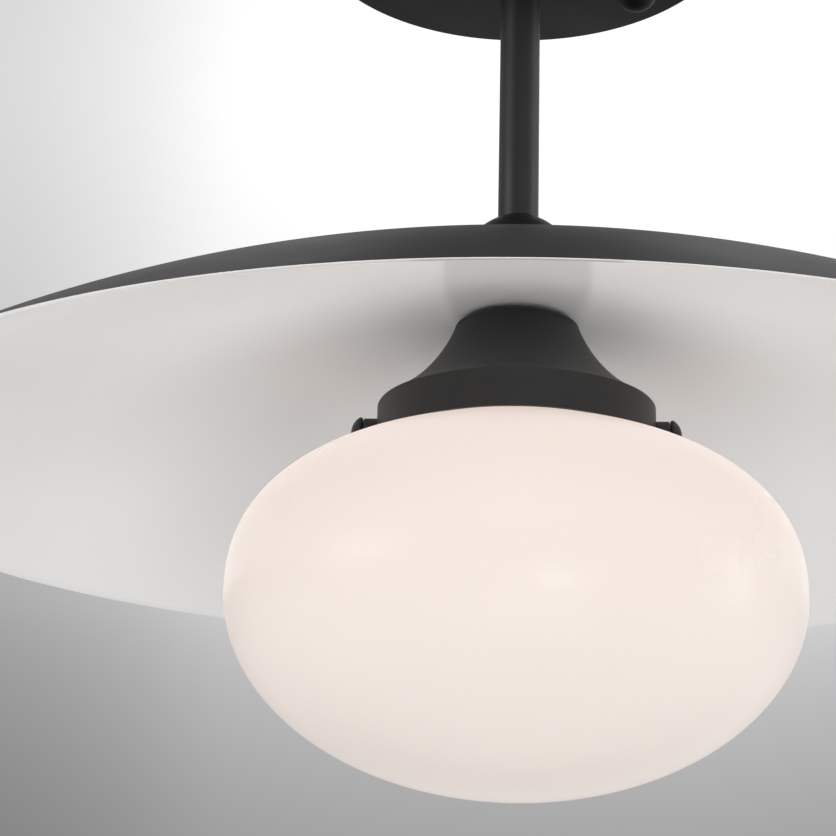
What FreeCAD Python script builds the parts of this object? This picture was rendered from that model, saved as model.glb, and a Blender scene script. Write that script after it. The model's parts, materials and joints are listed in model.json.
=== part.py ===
"""Semi flush ceiling light: canopy, stem, wide shade, and a bell holder with an opal glass globe.

Millimetres, +Z up. The origin is on the stem's axis in the plane of the ceiling, and all of the
light hangs below it. The crossbar and the two ball nuts lie along X.
"""
import FreeCAD, Part
import math
import os
import re
import Sketcher

NAMES = []
BODIES = []

doc = FreeCAD.newDocument("ceiling_light")
sheet = doc.addObject("Spreadsheet::Sheet", "Sizes")


# ---------------------------------------------------------------- driving sizes

# canopy and what holds it up
CANOPY_RADIUS = 69.5  # outside radius of the canopy pan
CANOPY_DEPTH = 22.0  # ceiling to the canopy's underside
CANOPY_WALL = 0.9  # sheet of the canopy
CANOPY_EDGE_ROUND = 1.8  # outside radius of the pan's lower edge
CROSSBAR_WIDTH = 19.0  # width of the strap
CROSSBAR_WALL = 1.8  # thickness of the strap
CROSSBAR_SET_DOWN = 3.2  # how far the strap's tips are set down
BOX_SLOT_SPACING = 69.85  # between the slots for the box screws
BOX_SLOT_LENGTH = 8.6  # end to end of a slot
BOX_SLOT_WIDTH = 4.8  # width of a slot
CANOPY_SCREW_STEP = 9.525  # box slot's middle out to the canopy screw
CANOPY_SCREW_SPACING = BOX_SLOT_SPACING + 2 * CANOPY_SCREW_STEP
CROSSBAR_END = 7.05  # canopy screw out to the end of the strap
CROSSBAR_LENGTH = CANOPY_SCREW_SPACING + 2 * CROSSBAR_END
SCREW_RADIUS = 2.08  # outside radius of the small machine thread
THREAD_GAP = 0.06  # running clearance of a thread, each side
SCREW_HOLE_GAP = 0.45  # clearance round a screw in a plain hole
SCREW_HEAD_RADIUS = 3.6  # radius of a pan head
SCREW_HEAD_HEIGHT = 2.2  # height of a pan head
SCREW_HEAD_ROUND = 1.1  # rounding of a pan head
DRIVER_SLOT_WIDTH = 0.9  # slot for the screwdriver
DRIVER_SLOT_DEPTH = 1.0  # depth of that slot
GROUND_SCREW_OFFSET = 15.0  # ground screw from the strap's middle
GROUND_SCREW_REACH = 1.7  # shank of the ground screw
BALL_NUT_RADIUS = 7.0  # radius of the ball on a canopy screw
BALL_NUT_SEAT = 6.2  # ball's centre below the canopy
BALL_NUT_BORE_DEPTH = 10.2  # blind thread in the ball nut
BALL_NUT_GRIP = 9.0  # length of screw inside the ball nut
SEAT_GAP = 0.05  # gap left at a face that is screwed up tight

# stem, nipples, nuts
STEM_RADIUS = 6.35  # outside radius of the stem
STEM_DROP = 99.0  # stem in view, canopy to cap
NIPPLE_RADIUS = 4.8  # outside radius of the lamp thread pipe
NIPPLE_BORE = 3.3  # wire way through a nipple
NIPPLE_GAP = 0.05  # clearance round a nipple, each side
NIPPLE_GRIP = 14.0  # nipple inside the stem
NUT_FLATS = 15.8  # across the flats of the lock nuts
NUT_HEIGHT = 4.0  # height of the lock nuts
NUT_RELIEF = 1.2  # fall of the cone that relieves the nut's corners
WASHER_RADIUS = 8.6  # outside radius of the lock washers
WASHER_WALL = 1.0  # thickness of the lock washers
NIPPLE_END = 2.4  # nipple that stands past its nut

# domed cap and shade
CAP_RADIUS = 17.8  # radius of the domed cap, also its dome's
CAP_HEIGHT = 32.2  # cap, stem foot to shade
CAP_WALL = 1.2  # sheet of the cap
SHADE_RADIUS = 203.2  # rim radius of the shade
SHADE_DEPTH = 61.5  # rim plane to the outside of the crown
SHADE_WALL = 1.2  # sheet of the shade
SEAT_WASHER_RADIUS = 9.0  # washer between shade and holder
SEAT_WASHER_WALL = 2.0  # thickness of that washer

# bell holder with its thumbscrews
HOLDER_SKIRT_RADIUS = 42.2  # outside radius of the skirt that takes the glass
HOLDER_SKIRT_HEIGHT = 11.4  # height of the skirt
HOLDER_WALL = 1.5  # wall of the holder
HOLDER_TOP_ROUND = 1.6  # rounding of the holder's top edge
BELL_ARC_RADIUS = 48.7  # radius of the bell's hollow curve
BELL_ARC_UP = 16.2  # centre of that curve above the holder's top
BELL_CROWN_RADIUS = 18.57  # where that curve meets the level of the top
BELL_ARC_OUT = BELL_CROWN_RADIUS + math.sqrt(BELL_ARC_RADIUS ** 2 - BELL_ARC_UP ** 2)
BOSS_RADIUS = 4.4  # radius of a thumbscrew boss
BOSS_LENGTH = 4.0  # how far a boss stands out of the skirt
BOSS_REACH = HOLDER_SKIRT_RADIUS + BOSS_LENGTH
BOSS_DOWN = 7.5  # shoulder down to the thumbscrews
THUMBSCREW_INSET = 4.8  # tip of a thumbscrew inside the skirt's outer face
THUMBSCREW_TIP = HOLDER_SKIRT_RADIUS - THUMBSCREW_INSET
THUMBSCREW_POINT = 1.1  # length of the screw's cone point
THUMBSCREW_HEAD_RADIUS = 4.7  # radius of the domed head
THUMBSCREW_HEAD_LENGTH = 3.5  # length of the domed head
THUMBSCREW_HEAD_GAP = 0.35  # gap from boss to head
CLOCKING = -29.0  # degrees from the crossbar to the thumbscrews

# opal globe
GLOBE_RADIUS = 85.6  # widest outside radius of the glass
GLOBE_GAP = 0.8  # holder's foot down to the glass below it
GLOBE_SHOULDER = 51.1  # rise of the upper curve, drawn on to the axis
GLOBE_SHOULDER_POWER = 2.33  # squareness of the upper curve
GLOBE_BASE = 58.25  # fall of the lower curve
GLOBE_WALL = 2.8  # thickness of the glass
NECK_FILLET = 4.6  # hollow between shoulder and waist
LIP_CLEARANCE = 1.1  # clearance between the lip and the skirt
LIP_RADIUS = HOLDER_SKIRT_RADIUS - HOLDER_WALL - LIP_CLEARANCE
LIP_OVERHANG = 3.4  # lip outside the neck's waist
NECK_RADIUS = LIP_RADIUS - LIP_OVERHANG
LIP_HEIGHT = 3.2  # height of the lip
LIP_SEAT_GAP = 0.25  # lip above the thumbscrews

# lamp socket
SOCKET_CAP_RADIUS = 17.4  # outside radius of the metal cap
SOCKET_CAP_HEIGHT = 11.0  # height of the metal cap
SOCKET_CAP_WALL = 0.8  # sheet of the metal cap
SOCKET_CAP_ROUND = 2.0  # rounding of the metal cap
SOCKET_RADIUS = 17.9  # outside radius of the socket body
SOCKET_HEIGHT = 42.0  # height of the socket body
SOCKET_CAP_FIT = 0.1  # body inside its cap, each side
SHELL_RADIUS = 14.0  # outside radius of the screw shell
SHELL_WALL = 0.4  # sheet of the screw shell
SHELL_FIT = 0.1  # shell in the body, each side
SHELL_DEPTH = 27.0  # depth of the lamp hole
CONTACT_WIDTH = 6.0  # width of the centre contact strip
CONTACT_WALL = 0.6  # thickness of the contact strip
CONTACT_RISE = 2.2  # how far the strip springs down
TERMINAL_POCKET = 8.6  # width of a terminal pocket
TERMINAL_DEPTH = 2.6  # depth of a terminal pocket
TERMINAL_DROP = 17.0  # body's top down to the terminals

# lamp
LAMP_BASE_RADIUS = 13.2  # outside radius of the lamp's screw base
LAMP_BASE_HEIGHT = 24.0  # height of that base
LAMP_BASE_WALL = 0.5  # sheet of that base
LAMP_CONTACT_GAP = 0.3  # tip below the contact strip
LAMP_TIP_RADIUS = 4.6  # radius of the solder tip
LAMP_TIP_HEIGHT = 1.6  # height of the solder tip
LAMP_INSULATOR_HEIGHT = 2.4  # height of the glass insulator
LAMP_LENGTH = 86.0  # tip to the end of the lamp's glass
LAMP_BULB_RADIUS = 24.0  # radius of the lamp's glass
LAMP_NECK_RADIUS = 12.4  # radius of the glass inside the base
LAMP_GLASS_WALL = 0.8  # thickness of the lamp's glass


def fill_sheet(**sizes):
    """Write the driving sizes into the sheet, each under its own name in small letters."""
    for alias, value in sizes.items():
        NAMES.append(alias)
        sheet.set("A%d" % len(NAMES), alias)
        sheet.set("B%d" % len(NAMES), str(value))
        sheet.setAlias("B%d" % len(NAMES), alias)


fill_sheet(
    canopy_radius=CANOPY_RADIUS, canopy_depth=CANOPY_DEPTH, canopy_wall=CANOPY_WALL,
    canopy_edge_round=CANOPY_EDGE_ROUND, crossbar_length=CROSSBAR_LENGTH, crossbar_width=CROSSBAR_WIDTH,
    crossbar_wall=CROSSBAR_WALL, crossbar_set_down=CROSSBAR_SET_DOWN, box_slot_spacing=BOX_SLOT_SPACING,
    box_slot_length=BOX_SLOT_LENGTH, box_slot_width=BOX_SLOT_WIDTH,
    canopy_screw_spacing=CANOPY_SCREW_SPACING, screw_radius=SCREW_RADIUS, thread_gap=THREAD_GAP,
    screw_hole_gap=SCREW_HOLE_GAP, screw_head_radius=SCREW_HEAD_RADIUS,
    screw_head_height=SCREW_HEAD_HEIGHT, screw_head_round=SCREW_HEAD_ROUND,
    driver_slot_width=DRIVER_SLOT_WIDTH, driver_slot_depth=DRIVER_SLOT_DEPTH,
    ground_screw_offset=GROUND_SCREW_OFFSET, ground_screw_reach=GROUND_SCREW_REACH,
    ball_nut_radius=BALL_NUT_RADIUS, ball_nut_seat=BALL_NUT_SEAT,
    ball_nut_bore_depth=BALL_NUT_BORE_DEPTH, ball_nut_grip=BALL_NUT_GRIP, seat_gap=SEAT_GAP,
    stem_radius=STEM_RADIUS, stem_drop=STEM_DROP, nipple_radius=NIPPLE_RADIUS, nipple_bore=NIPPLE_BORE,
    nipple_gap=NIPPLE_GAP, nipple_grip=NIPPLE_GRIP, nut_flats=NUT_FLATS, nut_height=NUT_HEIGHT,
    nut_relief=NUT_RELIEF, washer_radius=WASHER_RADIUS, washer_wall=WASHER_WALL, nipple_end=NIPPLE_END,
    cap_radius=CAP_RADIUS, cap_height=CAP_HEIGHT, cap_wall=CAP_WALL, shade_radius=SHADE_RADIUS,
    shade_depth=SHADE_DEPTH, shade_wall=SHADE_WALL, seat_washer_radius=SEAT_WASHER_RADIUS,
    seat_washer_wall=SEAT_WASHER_WALL, holder_skirt_radius=HOLDER_SKIRT_RADIUS,
    holder_skirt_height=HOLDER_SKIRT_HEIGHT, holder_wall=HOLDER_WALL, holder_top_round=HOLDER_TOP_ROUND,
    bell_arc_radius=BELL_ARC_RADIUS, bell_arc_out=BELL_ARC_OUT, bell_arc_up=BELL_ARC_UP,
    boss_radius=BOSS_RADIUS, boss_reach=BOSS_REACH, boss_down=BOSS_DOWN, thumbscrew_tip=THUMBSCREW_TIP,
    thumbscrew_point=THUMBSCREW_POINT, thumbscrew_head_radius=THUMBSCREW_HEAD_RADIUS,
    thumbscrew_head_length=THUMBSCREW_HEAD_LENGTH, thumbscrew_head_gap=THUMBSCREW_HEAD_GAP,
    clocking=CLOCKING, globe_radius=GLOBE_RADIUS, globe_gap=GLOBE_GAP, globe_shoulder=GLOBE_SHOULDER,
    globe_shoulder_power=GLOBE_SHOULDER_POWER, globe_base=GLOBE_BASE, globe_wall=GLOBE_WALL,
    neck_radius=NECK_RADIUS, neck_fillet=NECK_FILLET, lip_radius=LIP_RADIUS, lip_height=LIP_HEIGHT,
    lip_seat_gap=LIP_SEAT_GAP, socket_cap_radius=SOCKET_CAP_RADIUS, socket_cap_height=SOCKET_CAP_HEIGHT,
    socket_cap_wall=SOCKET_CAP_WALL, socket_cap_round=SOCKET_CAP_ROUND, socket_radius=SOCKET_RADIUS,
    socket_height=SOCKET_HEIGHT, socket_cap_fit=SOCKET_CAP_FIT, shell_radius=SHELL_RADIUS,
    shell_wall=SHELL_WALL, shell_fit=SHELL_FIT, shell_depth=SHELL_DEPTH, contact_width=CONTACT_WIDTH,
    contact_wall=CONTACT_WALL, contact_rise=CONTACT_RISE, terminal_pocket=TERMINAL_POCKET,
    terminal_depth=TERMINAL_DEPTH, terminal_drop=TERMINAL_DROP, lamp_base_radius=LAMP_BASE_RADIUS,
    lamp_base_height=LAMP_BASE_HEIGHT, lamp_base_wall=LAMP_BASE_WALL, lamp_contact_gap=LAMP_CONTACT_GAP,
    lamp_tip_radius=LAMP_TIP_RADIUS, lamp_tip_height=LAMP_TIP_HEIGHT,
    lamp_insulator_height=LAMP_INSULATOR_HEIGHT, lamp_length=LAMP_LENGTH,
    lamp_bulb_radius=LAMP_BULB_RADIUS, lamp_neck_radius=LAMP_NECK_RADIUS,
    lamp_glass_wall=LAMP_GLASS_WALL,
)
doc.recompute()


# ---------------------------------------------------------------- levels, from the ceiling down

CANOPY_FACE = "(-canopy_depth)"
CANOPY_FLOOR = "(canopy_wall - canopy_depth)"
STEM_FOOT = "(-canopy_depth - stem_drop)"
CAP_FOOT = "(-canopy_depth - stem_drop - cap_height)"
DOME = "((shade_radius ^ 2 + shade_depth ^ 2) / (2 * shade_depth))"
DOME_INSIDE = "(%s - shade_wall)" % DOME
CAP_SAG = "(%s - sqrt(%s ^ 2 - (cap_radius - cap_wall) ^ 2))" % (DOME, DOME)
CROWN = "(%s + %s)" % (CAP_FOOT, CAP_SAG)
SHADE_RIM = "(%s - shade_depth)" % CROWN
SEAT_SAG = "(%s - sqrt(%s ^ 2 - seat_washer_radius ^ 2))" % (DOME_INSIDE, DOME_INSIDE)
SEAT_WASHER = "(%s - shade_wall - %s - seat_washer_wall)" % (CROWN, SEAT_SAG)
HOLDER_TOP = SEAT_WASHER
HOLDER_CEILING = "(%s - holder_wall)" % HOLDER_TOP
HOLDER_NUT_FOOT = "(%s - washer_wall - nut_height)" % HOLDER_CEILING
BELL_DROP = "(sqrt(bell_arc_radius ^ 2 - (bell_arc_out - holder_skirt_radius) ^ 2) - bell_arc_up)"
BOSS_DROP = "(%s + boss_down)" % BELL_DROP
THUMBSCREW_AXIS = "(%s - %s)" % (HOLDER_TOP, BOSS_DROP)
GLOBE_SHARE = "(holder_skirt_radius / globe_radius) ^ globe_shoulder_power"
GLOBE_RISE = "(globe_shoulder * (1 - %s) ^ (1 / globe_shoulder_power))" % GLOBE_SHARE
GLOBE_DROP = "(%s + holder_skirt_height + globe_gap + %s)" % (BELL_DROP, GLOBE_RISE)
GLOBE_MIDDLE = "(%s - %s)" % (HOLDER_TOP, GLOBE_DROP)
LIP_FOOT = "(%s - %s + screw_radius + lip_seat_gap)" % (GLOBE_DROP, BOSS_DROP)
SOCKET_TOP = "(%s - socket_cap_wall)" % HOLDER_NUT_FOOT
SOCKET_FLOOR = "(shell_depth - socket_height)"
LAMP_TIP = "(%s + %s - contact_wall - contact_rise - lamp_contact_gap)" % (SOCKET_TOP, SOCKET_FLOOR)


# ---------------------------------------------------------------- small helpers

def bound(text):
    """Point every size name in a formula at the sheet."""
    return re.sub(r"[a-z_]+", lambda word: refer(word.group(0)), text)


def refer(word):
    return "Sizes." + word if word in NAMES else word


def number(text):
    """The value that a formula has now."""
    return float(sheet.evalExpression(text))


def new_body(label):
    body = doc.addObject("PartDesign::Body", label)
    body.Label = label
    BODIES.append(body)
    return body


def place(body, level, out="0"):
    """Hang a body at its level, out along the crossbar."""
    body.setExpression("Placement.Base.x", bound(out))
    body.setExpression("Placement.Base.z", bound(level))


def clock(body):
    """Turn a body about the axis, from the crossbar's line to the thumbscrews' line."""
    body.Placement.Rotation = FreeCAD.Rotation(FreeCAD.Vector(0, 0, 1), number("clocking"))
    body.setExpression("Placement.Rotation.Angle", bound("clocking * 1 deg"))


def origin_plane(body, role):
    return [plane for plane in body.Origin.OriginFeatures if plane.Role == role][0]


def new_sketch(body, name, role):
    sketch = body.newObject("Sketcher::SketchObject", "%s_%s" % (body.Label, name))
    sketch.AttachmentSupport = [(origin_plane(body, role), "")]
    sketch.MapMode = "FlatFace"
    return sketch


def bind(sketch, constraint, formula):
    place_in_list = sketch.addConstraint(constraint)
    sketch.setExpression("Constraints[%d]" % place_in_list, bound(formula))


def pin_corner(sketch, edge, end, x, y):
    """Fix a corner's two coordinates by formula, or lay it on an axis where one is zero."""
    if x == "0":
        sketch.addConstraint(Sketcher.Constraint("PointOnObject", edge, end, -2))
    else:
        bind(sketch, Sketcher.Constraint("DistanceX", -1, 1, edge, end, number(x)), x)
    if y == "0":
        sketch.addConstraint(Sketcher.Constraint("PointOnObject", edge, end, -1))
    else:
        bind(sketch, Sketcher.Constraint("DistanceY", -1, 1, edge, end, number(y)), y)


def arc_between(start, end, radius, turn):
    """Arc from start to end; turn is 1 when it bends to the left, -1 when to the right."""
    chord = end - start
    across = FreeCAD.Vector(-chord.y, chord.x, 0).normalize()
    height = math.sqrt(max(radius ** 2 - (chord.Length / 2) ** 2, 0))
    centre = (start + end) * 0.5 + across * (turn * height)
    first, last = (start, end) if turn > 0 else (end, start)
    angles = [math.atan2(point.y - centre.y, point.x - centre.x) for point in (first, last)]
    circle = Part.Circle(centre, FreeCAD.Vector(0, 0, 1), radius)
    return Part.ArcOfCircle(circle, angles[0], angles[1])


def outline(sketch, corners, arcs=None):
    """Closed outline through the corners; arcs gives radius and turn for the sides that bend."""
    arcs = arcs or {}
    points = [FreeCAD.Vector(number(x), number(y), 0) for x, y in corners]
    base = sketch.GeometryCount
    count = len(corners)
    for side in range(count):
        start, end = points[side], points[(side + 1) % count]
        if side in arcs:
            radius, turn = arcs[side]
            sketch.addGeometry(arc_between(start, end, number(radius), turn))
        else:
            sketch.addGeometry(Part.LineSegment(start, end))
    for side in range(count):
        following = (side + 1) % count
        last = 1 if side in arcs and arcs[side][1] < 0 else 2
        first = 2 if following in arcs and arcs[following][1] < 0 else 1
        sketch.addConstraint(
            Sketcher.Constraint("Coincident", base + side, last, base + following, first))
    for side, (x, y) in enumerate(corners):
        first = 2 if side in arcs and arcs[side][1] < 0 else 1
        pin_corner(sketch, base + side, first, x, y)
    for side, (radius, turn) in arcs.items():
        bind(sketch, Sketcher.Constraint("Radius", base + side, number(radius)), radius)


def ring(sketch, radius, x="0", y="0"):
    """Full circle, its centre on the axes or at the formulas given."""
    centre = FreeCAD.Vector(number(x), number(y), 0)
    edge = sketch.addGeometry(Part.Circle(centre, FreeCAD.Vector(0, 0, 1), number(radius)))
    pin_corner(sketch, edge, 3, x, y)
    bind(sketch, Sketcher.Constraint("Radius", edge, number(radius)), radius)


def turned(body, name, corners, arcs=None):
    """Turn an outline in the XZ plane about the body's own Z axis."""
    sketch = new_sketch(body, name + "_outline", "XZ_Plane")
    outline(sketch, corners, arcs)
    feature = body.newObject("PartDesign::Revolution", "%s_%s" % (body.Label, name))
    feature.Profile = sketch
    feature.ReferenceAxis = (sketch, ["V_Axis"])
    feature.Angle = 360
    return feature


def groove(body, name, corners, arcs=None):
    """Turn an outline in the XZ plane about Z and take it away."""
    sketch = new_sketch(body, name + "_outline", "XZ_Plane")
    outline(sketch, corners, arcs)
    feature = body.newObject("PartDesign::Groove", "%s_%s" % (body.Label, name))
    feature.Profile = sketch
    feature.ReferenceAxis = (sketch, ["V_Axis"])
    feature.Angle = 360
    return feature


def pad(body, name, sketch, length, symmetric=False, backwards=False):
    feature = body.newObject("PartDesign::Pad", "%s_%s" % (body.Label, name))
    feature.Profile = sketch
    feature.SideType = "Symmetric" if symmetric else "One side"
    feature.Reversed = backwards
    feature.setExpression("Length", bound(length))
    return feature


def cut_through(body, name, sketch):
    """Cut a sketch right through the body, both ways from its plane."""
    feature = body.newObject("PartDesign::Pocket", "%s_%s" % (body.Label, name))
    feature.Profile = sketch
    feature.Type = "ThroughAll"
    feature.SideType = "Symmetric"
    return feature


def cut(body, name, sketch, depth, backwards=False):
    feature = body.newObject("PartDesign::Pocket", "%s_%s" % (body.Label, name))
    feature.Profile = sketch
    feature.Type = "Length"
    feature.Reversed = backwards
    feature.setExpression("Length", bound(depth))
    return feature


def tube(label, outside, inside, height, level):
    """Plain tube that stands up from its level."""
    body = new_body(label)
    turned(body, "wall", [(inside, "0"), (outside, "0"), (outside, height), (inside, height)])
    place(body, level)
    return body


# ---------------------------------------------------------------- crossbar and canopy

def crossbar():
    """Bent strap: flat across the box, its two tips set down for the screw heads."""
    body = new_body("crossbar")
    side = new_sketch(body, "side", "XZ_Plane")
    tip = "(crossbar_length / 2)"
    knee = "(box_slot_spacing / 2 + box_slot_length / 2 + 0.2)"
    step = "(%s + 1.2)" % knee
    upper = [("-%s" % knee, "0"), (knee, "0")]
    right = [(step, "-crossbar_set_down"), (tip, "-crossbar_set_down"),
             (tip, "-crossbar_set_down - crossbar_wall"),
             ("%s - crossbar_wall * 0.5" % step, "-crossbar_set_down - crossbar_wall"),
             ("%s - crossbar_wall * 0.5" % knee, "-crossbar_wall")]
    left = [("-(%s)" % x, z) for x, z in reversed(right)]
    outline(side, upper + right + left)
    pad(body, "strap", side, "crossbar_width", symmetric=True)
    holes = new_sketch(body, "holes", "XY_Plane")
    ring(holes, "nipple_radius + nipple_gap")
    for sign in ("", "-"):
        ring(holes, "screw_radius + thread_gap", "%scanopy_screw_spacing / 2" % sign)
    ring(holes, "screw_radius + thread_gap", "-ground_screw_offset")
    cut_through(body, "round_holes", holes)
    slots = new_sketch(body, "slots", "XY_Plane")
    for sign in (1, -1):
        slot(slots, sign)
    cut_through(body, "box_slots", slots)
    place(body, "0")


def slot(sketch, sign):
    """Round-ended slot for a box screw, centred on its nominal place along X."""
    reach = "(box_slot_length - box_slot_width) / 2"
    ends = [("%d * box_slot_spacing / 2 + %s" % (sign, reach), -math.pi / 2),
            ("%d * box_slot_spacing / 2 - %s" % (sign, reach), math.pi / 2)]
    half = number("box_slot_width / 2")
    base = sketch.GeometryCount
    for x, start in ends:
        circle = Part.Circle(FreeCAD.Vector(number(x), 0, 0), FreeCAD.Vector(0, 0, 1), half)
        sketch.addGeometry(Part.ArcOfCircle(circle, start, start + math.pi))
    far, near = number(ends[0][0]), number(ends[1][0])
    for first, last, y in ((far, near, half), (near, far, -half)):
        sketch.addGeometry(Part.LineSegment(FreeCAD.Vector(first, y, 0), FreeCAD.Vector(last, y, 0)))
    for one, end, other, start in ((0, 2, 2, 1), (2, 2, 1, 1), (1, 2, 3, 1), (3, 2, 0, 1)):
        sketch.addConstraint(Sketcher.Constraint("Coincident", base + one, end, base + other, start))
    for arc, (x, start) in enumerate(ends):
        pin_corner(sketch, base + arc, 3, x, "0")
        bind(sketch, Sketcher.Constraint("Radius", base + arc, half), "box_slot_width / 2")
        for end in (1, 2):
            sketch.addConstraint(Sketcher.Constraint("Vertical", base + arc, 3, base + arc, end))


def pan_head_screw(label, reach, level, out, upwards):
    """Slotted pan-head screw; its head's seat is at the body's own origin."""
    body = new_body(label)
    way = "" if upwards else "-"
    back = "-" if upwards else ""
    corners = [("0", "%sscrew_head_height" % back), ("screw_head_radius - screw_head_round",
               "%sscrew_head_height" % back),
               ("screw_head_radius", "%s(screw_head_height - screw_head_round)" % back),
               ("screw_head_radius", "0"), ("screw_radius", "0"),
               ("screw_radius", "%s(%s)" % (way, reach)), ("0", "%s(%s)" % (way, reach))]
    turned(body, "form", corners, {1: ("screw_head_round", 1 if upwards else -1)})
    groove_sketch = new_sketch(body, "driver_slot", "XZ_Plane")
    deep = "%s(screw_head_height - driver_slot_depth)" % back
    top = "%s(screw_head_height + 1)" % back
    half = "driver_slot_width / 2"
    outline(groove_sketch, [("-" + half, deep), (half, deep), (half, top), ("-" + half, top)])
    cut_through(body, "driver_cut", groove_sketch)
    place(body, level, out)


def ball_nut(label, sign):
    """Round knob nut: a ball with a flat seat and a blind thread."""
    body = new_body(label)
    seat_ring = "sqrt(ball_nut_radius ^ 2 - (ball_nut_seat - seat_gap) ^ 2)"
    bore = "screw_radius + thread_gap"
    corners = [(bore, "-seat_gap"), (seat_ring, "-seat_gap"), ("0", "-ball_nut_seat - ball_nut_radius"),
               ("0", "-ball_nut_bore_depth"), (bore, "-ball_nut_bore_depth")]
    turned(body, "ball", corners, {1: ("ball_nut_radius", -1)})
    place(body, CANOPY_FACE, "%s canopy_screw_spacing / 2" % sign)


def canopy():
    """Spun pan with a rounded lower edge, a stem hole and two screw holes."""
    body = new_body("canopy")
    inner = "(canopy_radius - canopy_wall)"
    inner_round = "(canopy_edge_round - canopy_wall)"
    hole = "(nipple_radius + nipple_gap)"
    corners = [(hole, "0"), ("canopy_radius - canopy_edge_round", "0"),
               ("canopy_radius", "canopy_edge_round"), ("canopy_radius", "canopy_depth"),
               (inner, "canopy_depth"), (inner, "canopy_edge_round"),
               ("%s - %s" % (inner, inner_round), "canopy_wall"), (hole, "canopy_wall")]
    turned(body, "pan", corners, {1: ("canopy_edge_round", 1), 5: (inner_round, -1)})
    holes = new_sketch(body, "holes", "XY_Plane")
    for sign in ("", "-"):
        ring(holes, "screw_radius + screw_hole_gap", "%scanopy_screw_spacing / 2" % sign)
    cut_through(body, "screw_holes", holes)
    place(body, CANOPY_FACE)


# ---------------------------------------------------------------- stem, nipples and nuts

def hex_nut(label, level):
    """Hexagon lock nut on a nipple, its corners relieved above and below."""
    body = new_body(label)
    flats = new_sketch(body, "hexagon", "XY_Plane")
    corners = [("nut_flats / sqrt(3) * cos(%d deg)" % angle, "nut_flats / sqrt(3) * sin(%d deg)" % angle)
               for angle in range(30, 390, 60)]
    corners = [("0" if abs(number(x)) < 1e-6 else x, y) for x, y in corners]
    outline(flats, corners)
    ring(flats, "nipple_radius + nipple_gap")
    pad(body, "prism", flats, "nut_height")
    beyond = "(nut_flats / sqrt(3) + 1)"
    groove(body, "foot_relief", [("nut_flats / 2", "0"), (beyond, "0"), (beyond, "nut_relief")])
    groove(body, "head_relief", [("nut_flats / 2", "nut_height"), (beyond, "nut_height - nut_relief"),
                                 (beyond, "nut_height")])
    place(body, level)


def nipple(label, foot, head):
    """Threaded pipe between two levels, the wires' way through its middle."""
    tube(label, "nipple_radius", "nipple_bore", "%s - %s" % (head, foot), foot)


def lock_washer(label, level):
    """Toothed lock washer: a ring with notches round its edge."""
    body = new_body(label)
    turned(body, "ring", [("nipple_radius + nipple_gap", "0"), ("washer_radius", "0"),
                          ("washer_radius", "washer_wall"), ("nipple_radius + nipple_gap", "washer_wall")])
    notch = new_sketch(body, "notch", "XY_Plane")
    ring(notch, "washer_radius * 0.12", "washer_radius")
    pocket = cut_through(body, "notch_cut", notch)
    pattern = body.newObject("PartDesign::PolarPattern", label + "_notches")
    pattern.Originals = [pocket]
    pattern.Axis = (notch, ["N_Axis"])
    pattern.Angle = 360
    pattern.Occurrences = 10
    body.Tip = pattern
    place(body, level)


def stem():
    """Straight tube from the canopy to the cap, its ends faced square."""
    body = new_body("stem")
    turned(body, "tube", [("nipple_radius + nipple_gap", "0"), ("stem_radius", "0"),
                          ("stem_radius", "stem_drop"), ("nipple_radius + nipple_gap", "stem_drop")])
    place(body, STEM_FOOT)


def stem_cap():
    """Domed cup between the stem's foot and the shade's crown."""
    body = new_body("stem_cap")
    hole = "(nipple_radius + nipple_gap)"
    inside = "(cap_radius - cap_wall)"
    flat = "stem_radius"
    spring = "(cap_height - sqrt(cap_radius ^ 2 - stem_radius ^ 2))"
    inner_top = "(cap_height - cap_wall)"
    inner_flat = "sqrt(%s ^ 2 - (%s - %s) ^ 2)" % (inside, inner_top, spring)
    corners = [(inside, "0"), ("cap_radius", "0"), ("cap_radius", spring), (flat, "cap_height"),
               (hole, "cap_height"), (hole, inner_top), (inner_flat, inner_top), (inside, spring)]
    turned(body, "dome", corners, {2: ("cap_radius", 1), 6: (inside, -1)})
    place(body, CAP_FOOT)


# ---------------------------------------------------------------- shade

def shade():
    """Spun shade: one shallow round dome of even sheet, with a hole at its crown."""
    body = new_body("shade")
    hole = "(nipple_radius + nipple_gap)"
    middle = "(%s - shade_depth)" % DOME
    crown_outside = "(sqrt(%s ^ 2 - %s ^ 2) - %s)" % (DOME, hole, middle)
    crown_inside = "(sqrt(%s ^ 2 - %s ^ 2) - %s)" % (DOME_INSIDE, hole, middle)
    rim_inside = "(sqrt(%s ^ 2 - %s ^ 2))" % (DOME_INSIDE, middle)
    corners = [(rim_inside, "0"), ("shade_radius", "0"), (hole, crown_outside), (hole, crown_inside)]
    turned(body, "dome", corners, {1: (DOME, 1), 3: (DOME_INSIDE, -1)})
    place(body, SHADE_RIM)


# ---------------------------------------------------------------- bell holder

def bell_out(drop, grown="0"):
    """Radius of the bell's hollow curve at a drop below the holder's top."""
    return ("(bell_arc_out - sqrt((bell_arc_radius + %s) ^ 2 - (bell_arc_up + %s) ^ 2))" % (grown, drop))


def bell_drop(out, grown="0"):
    """Drop of the bell's hollow curve at a radius, below the holder's top."""
    return ("(sqrt((bell_arc_radius + %s) ^ 2 - (bell_arc_out - %s) ^ 2) - bell_arc_up)" % (grown, out))


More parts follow.
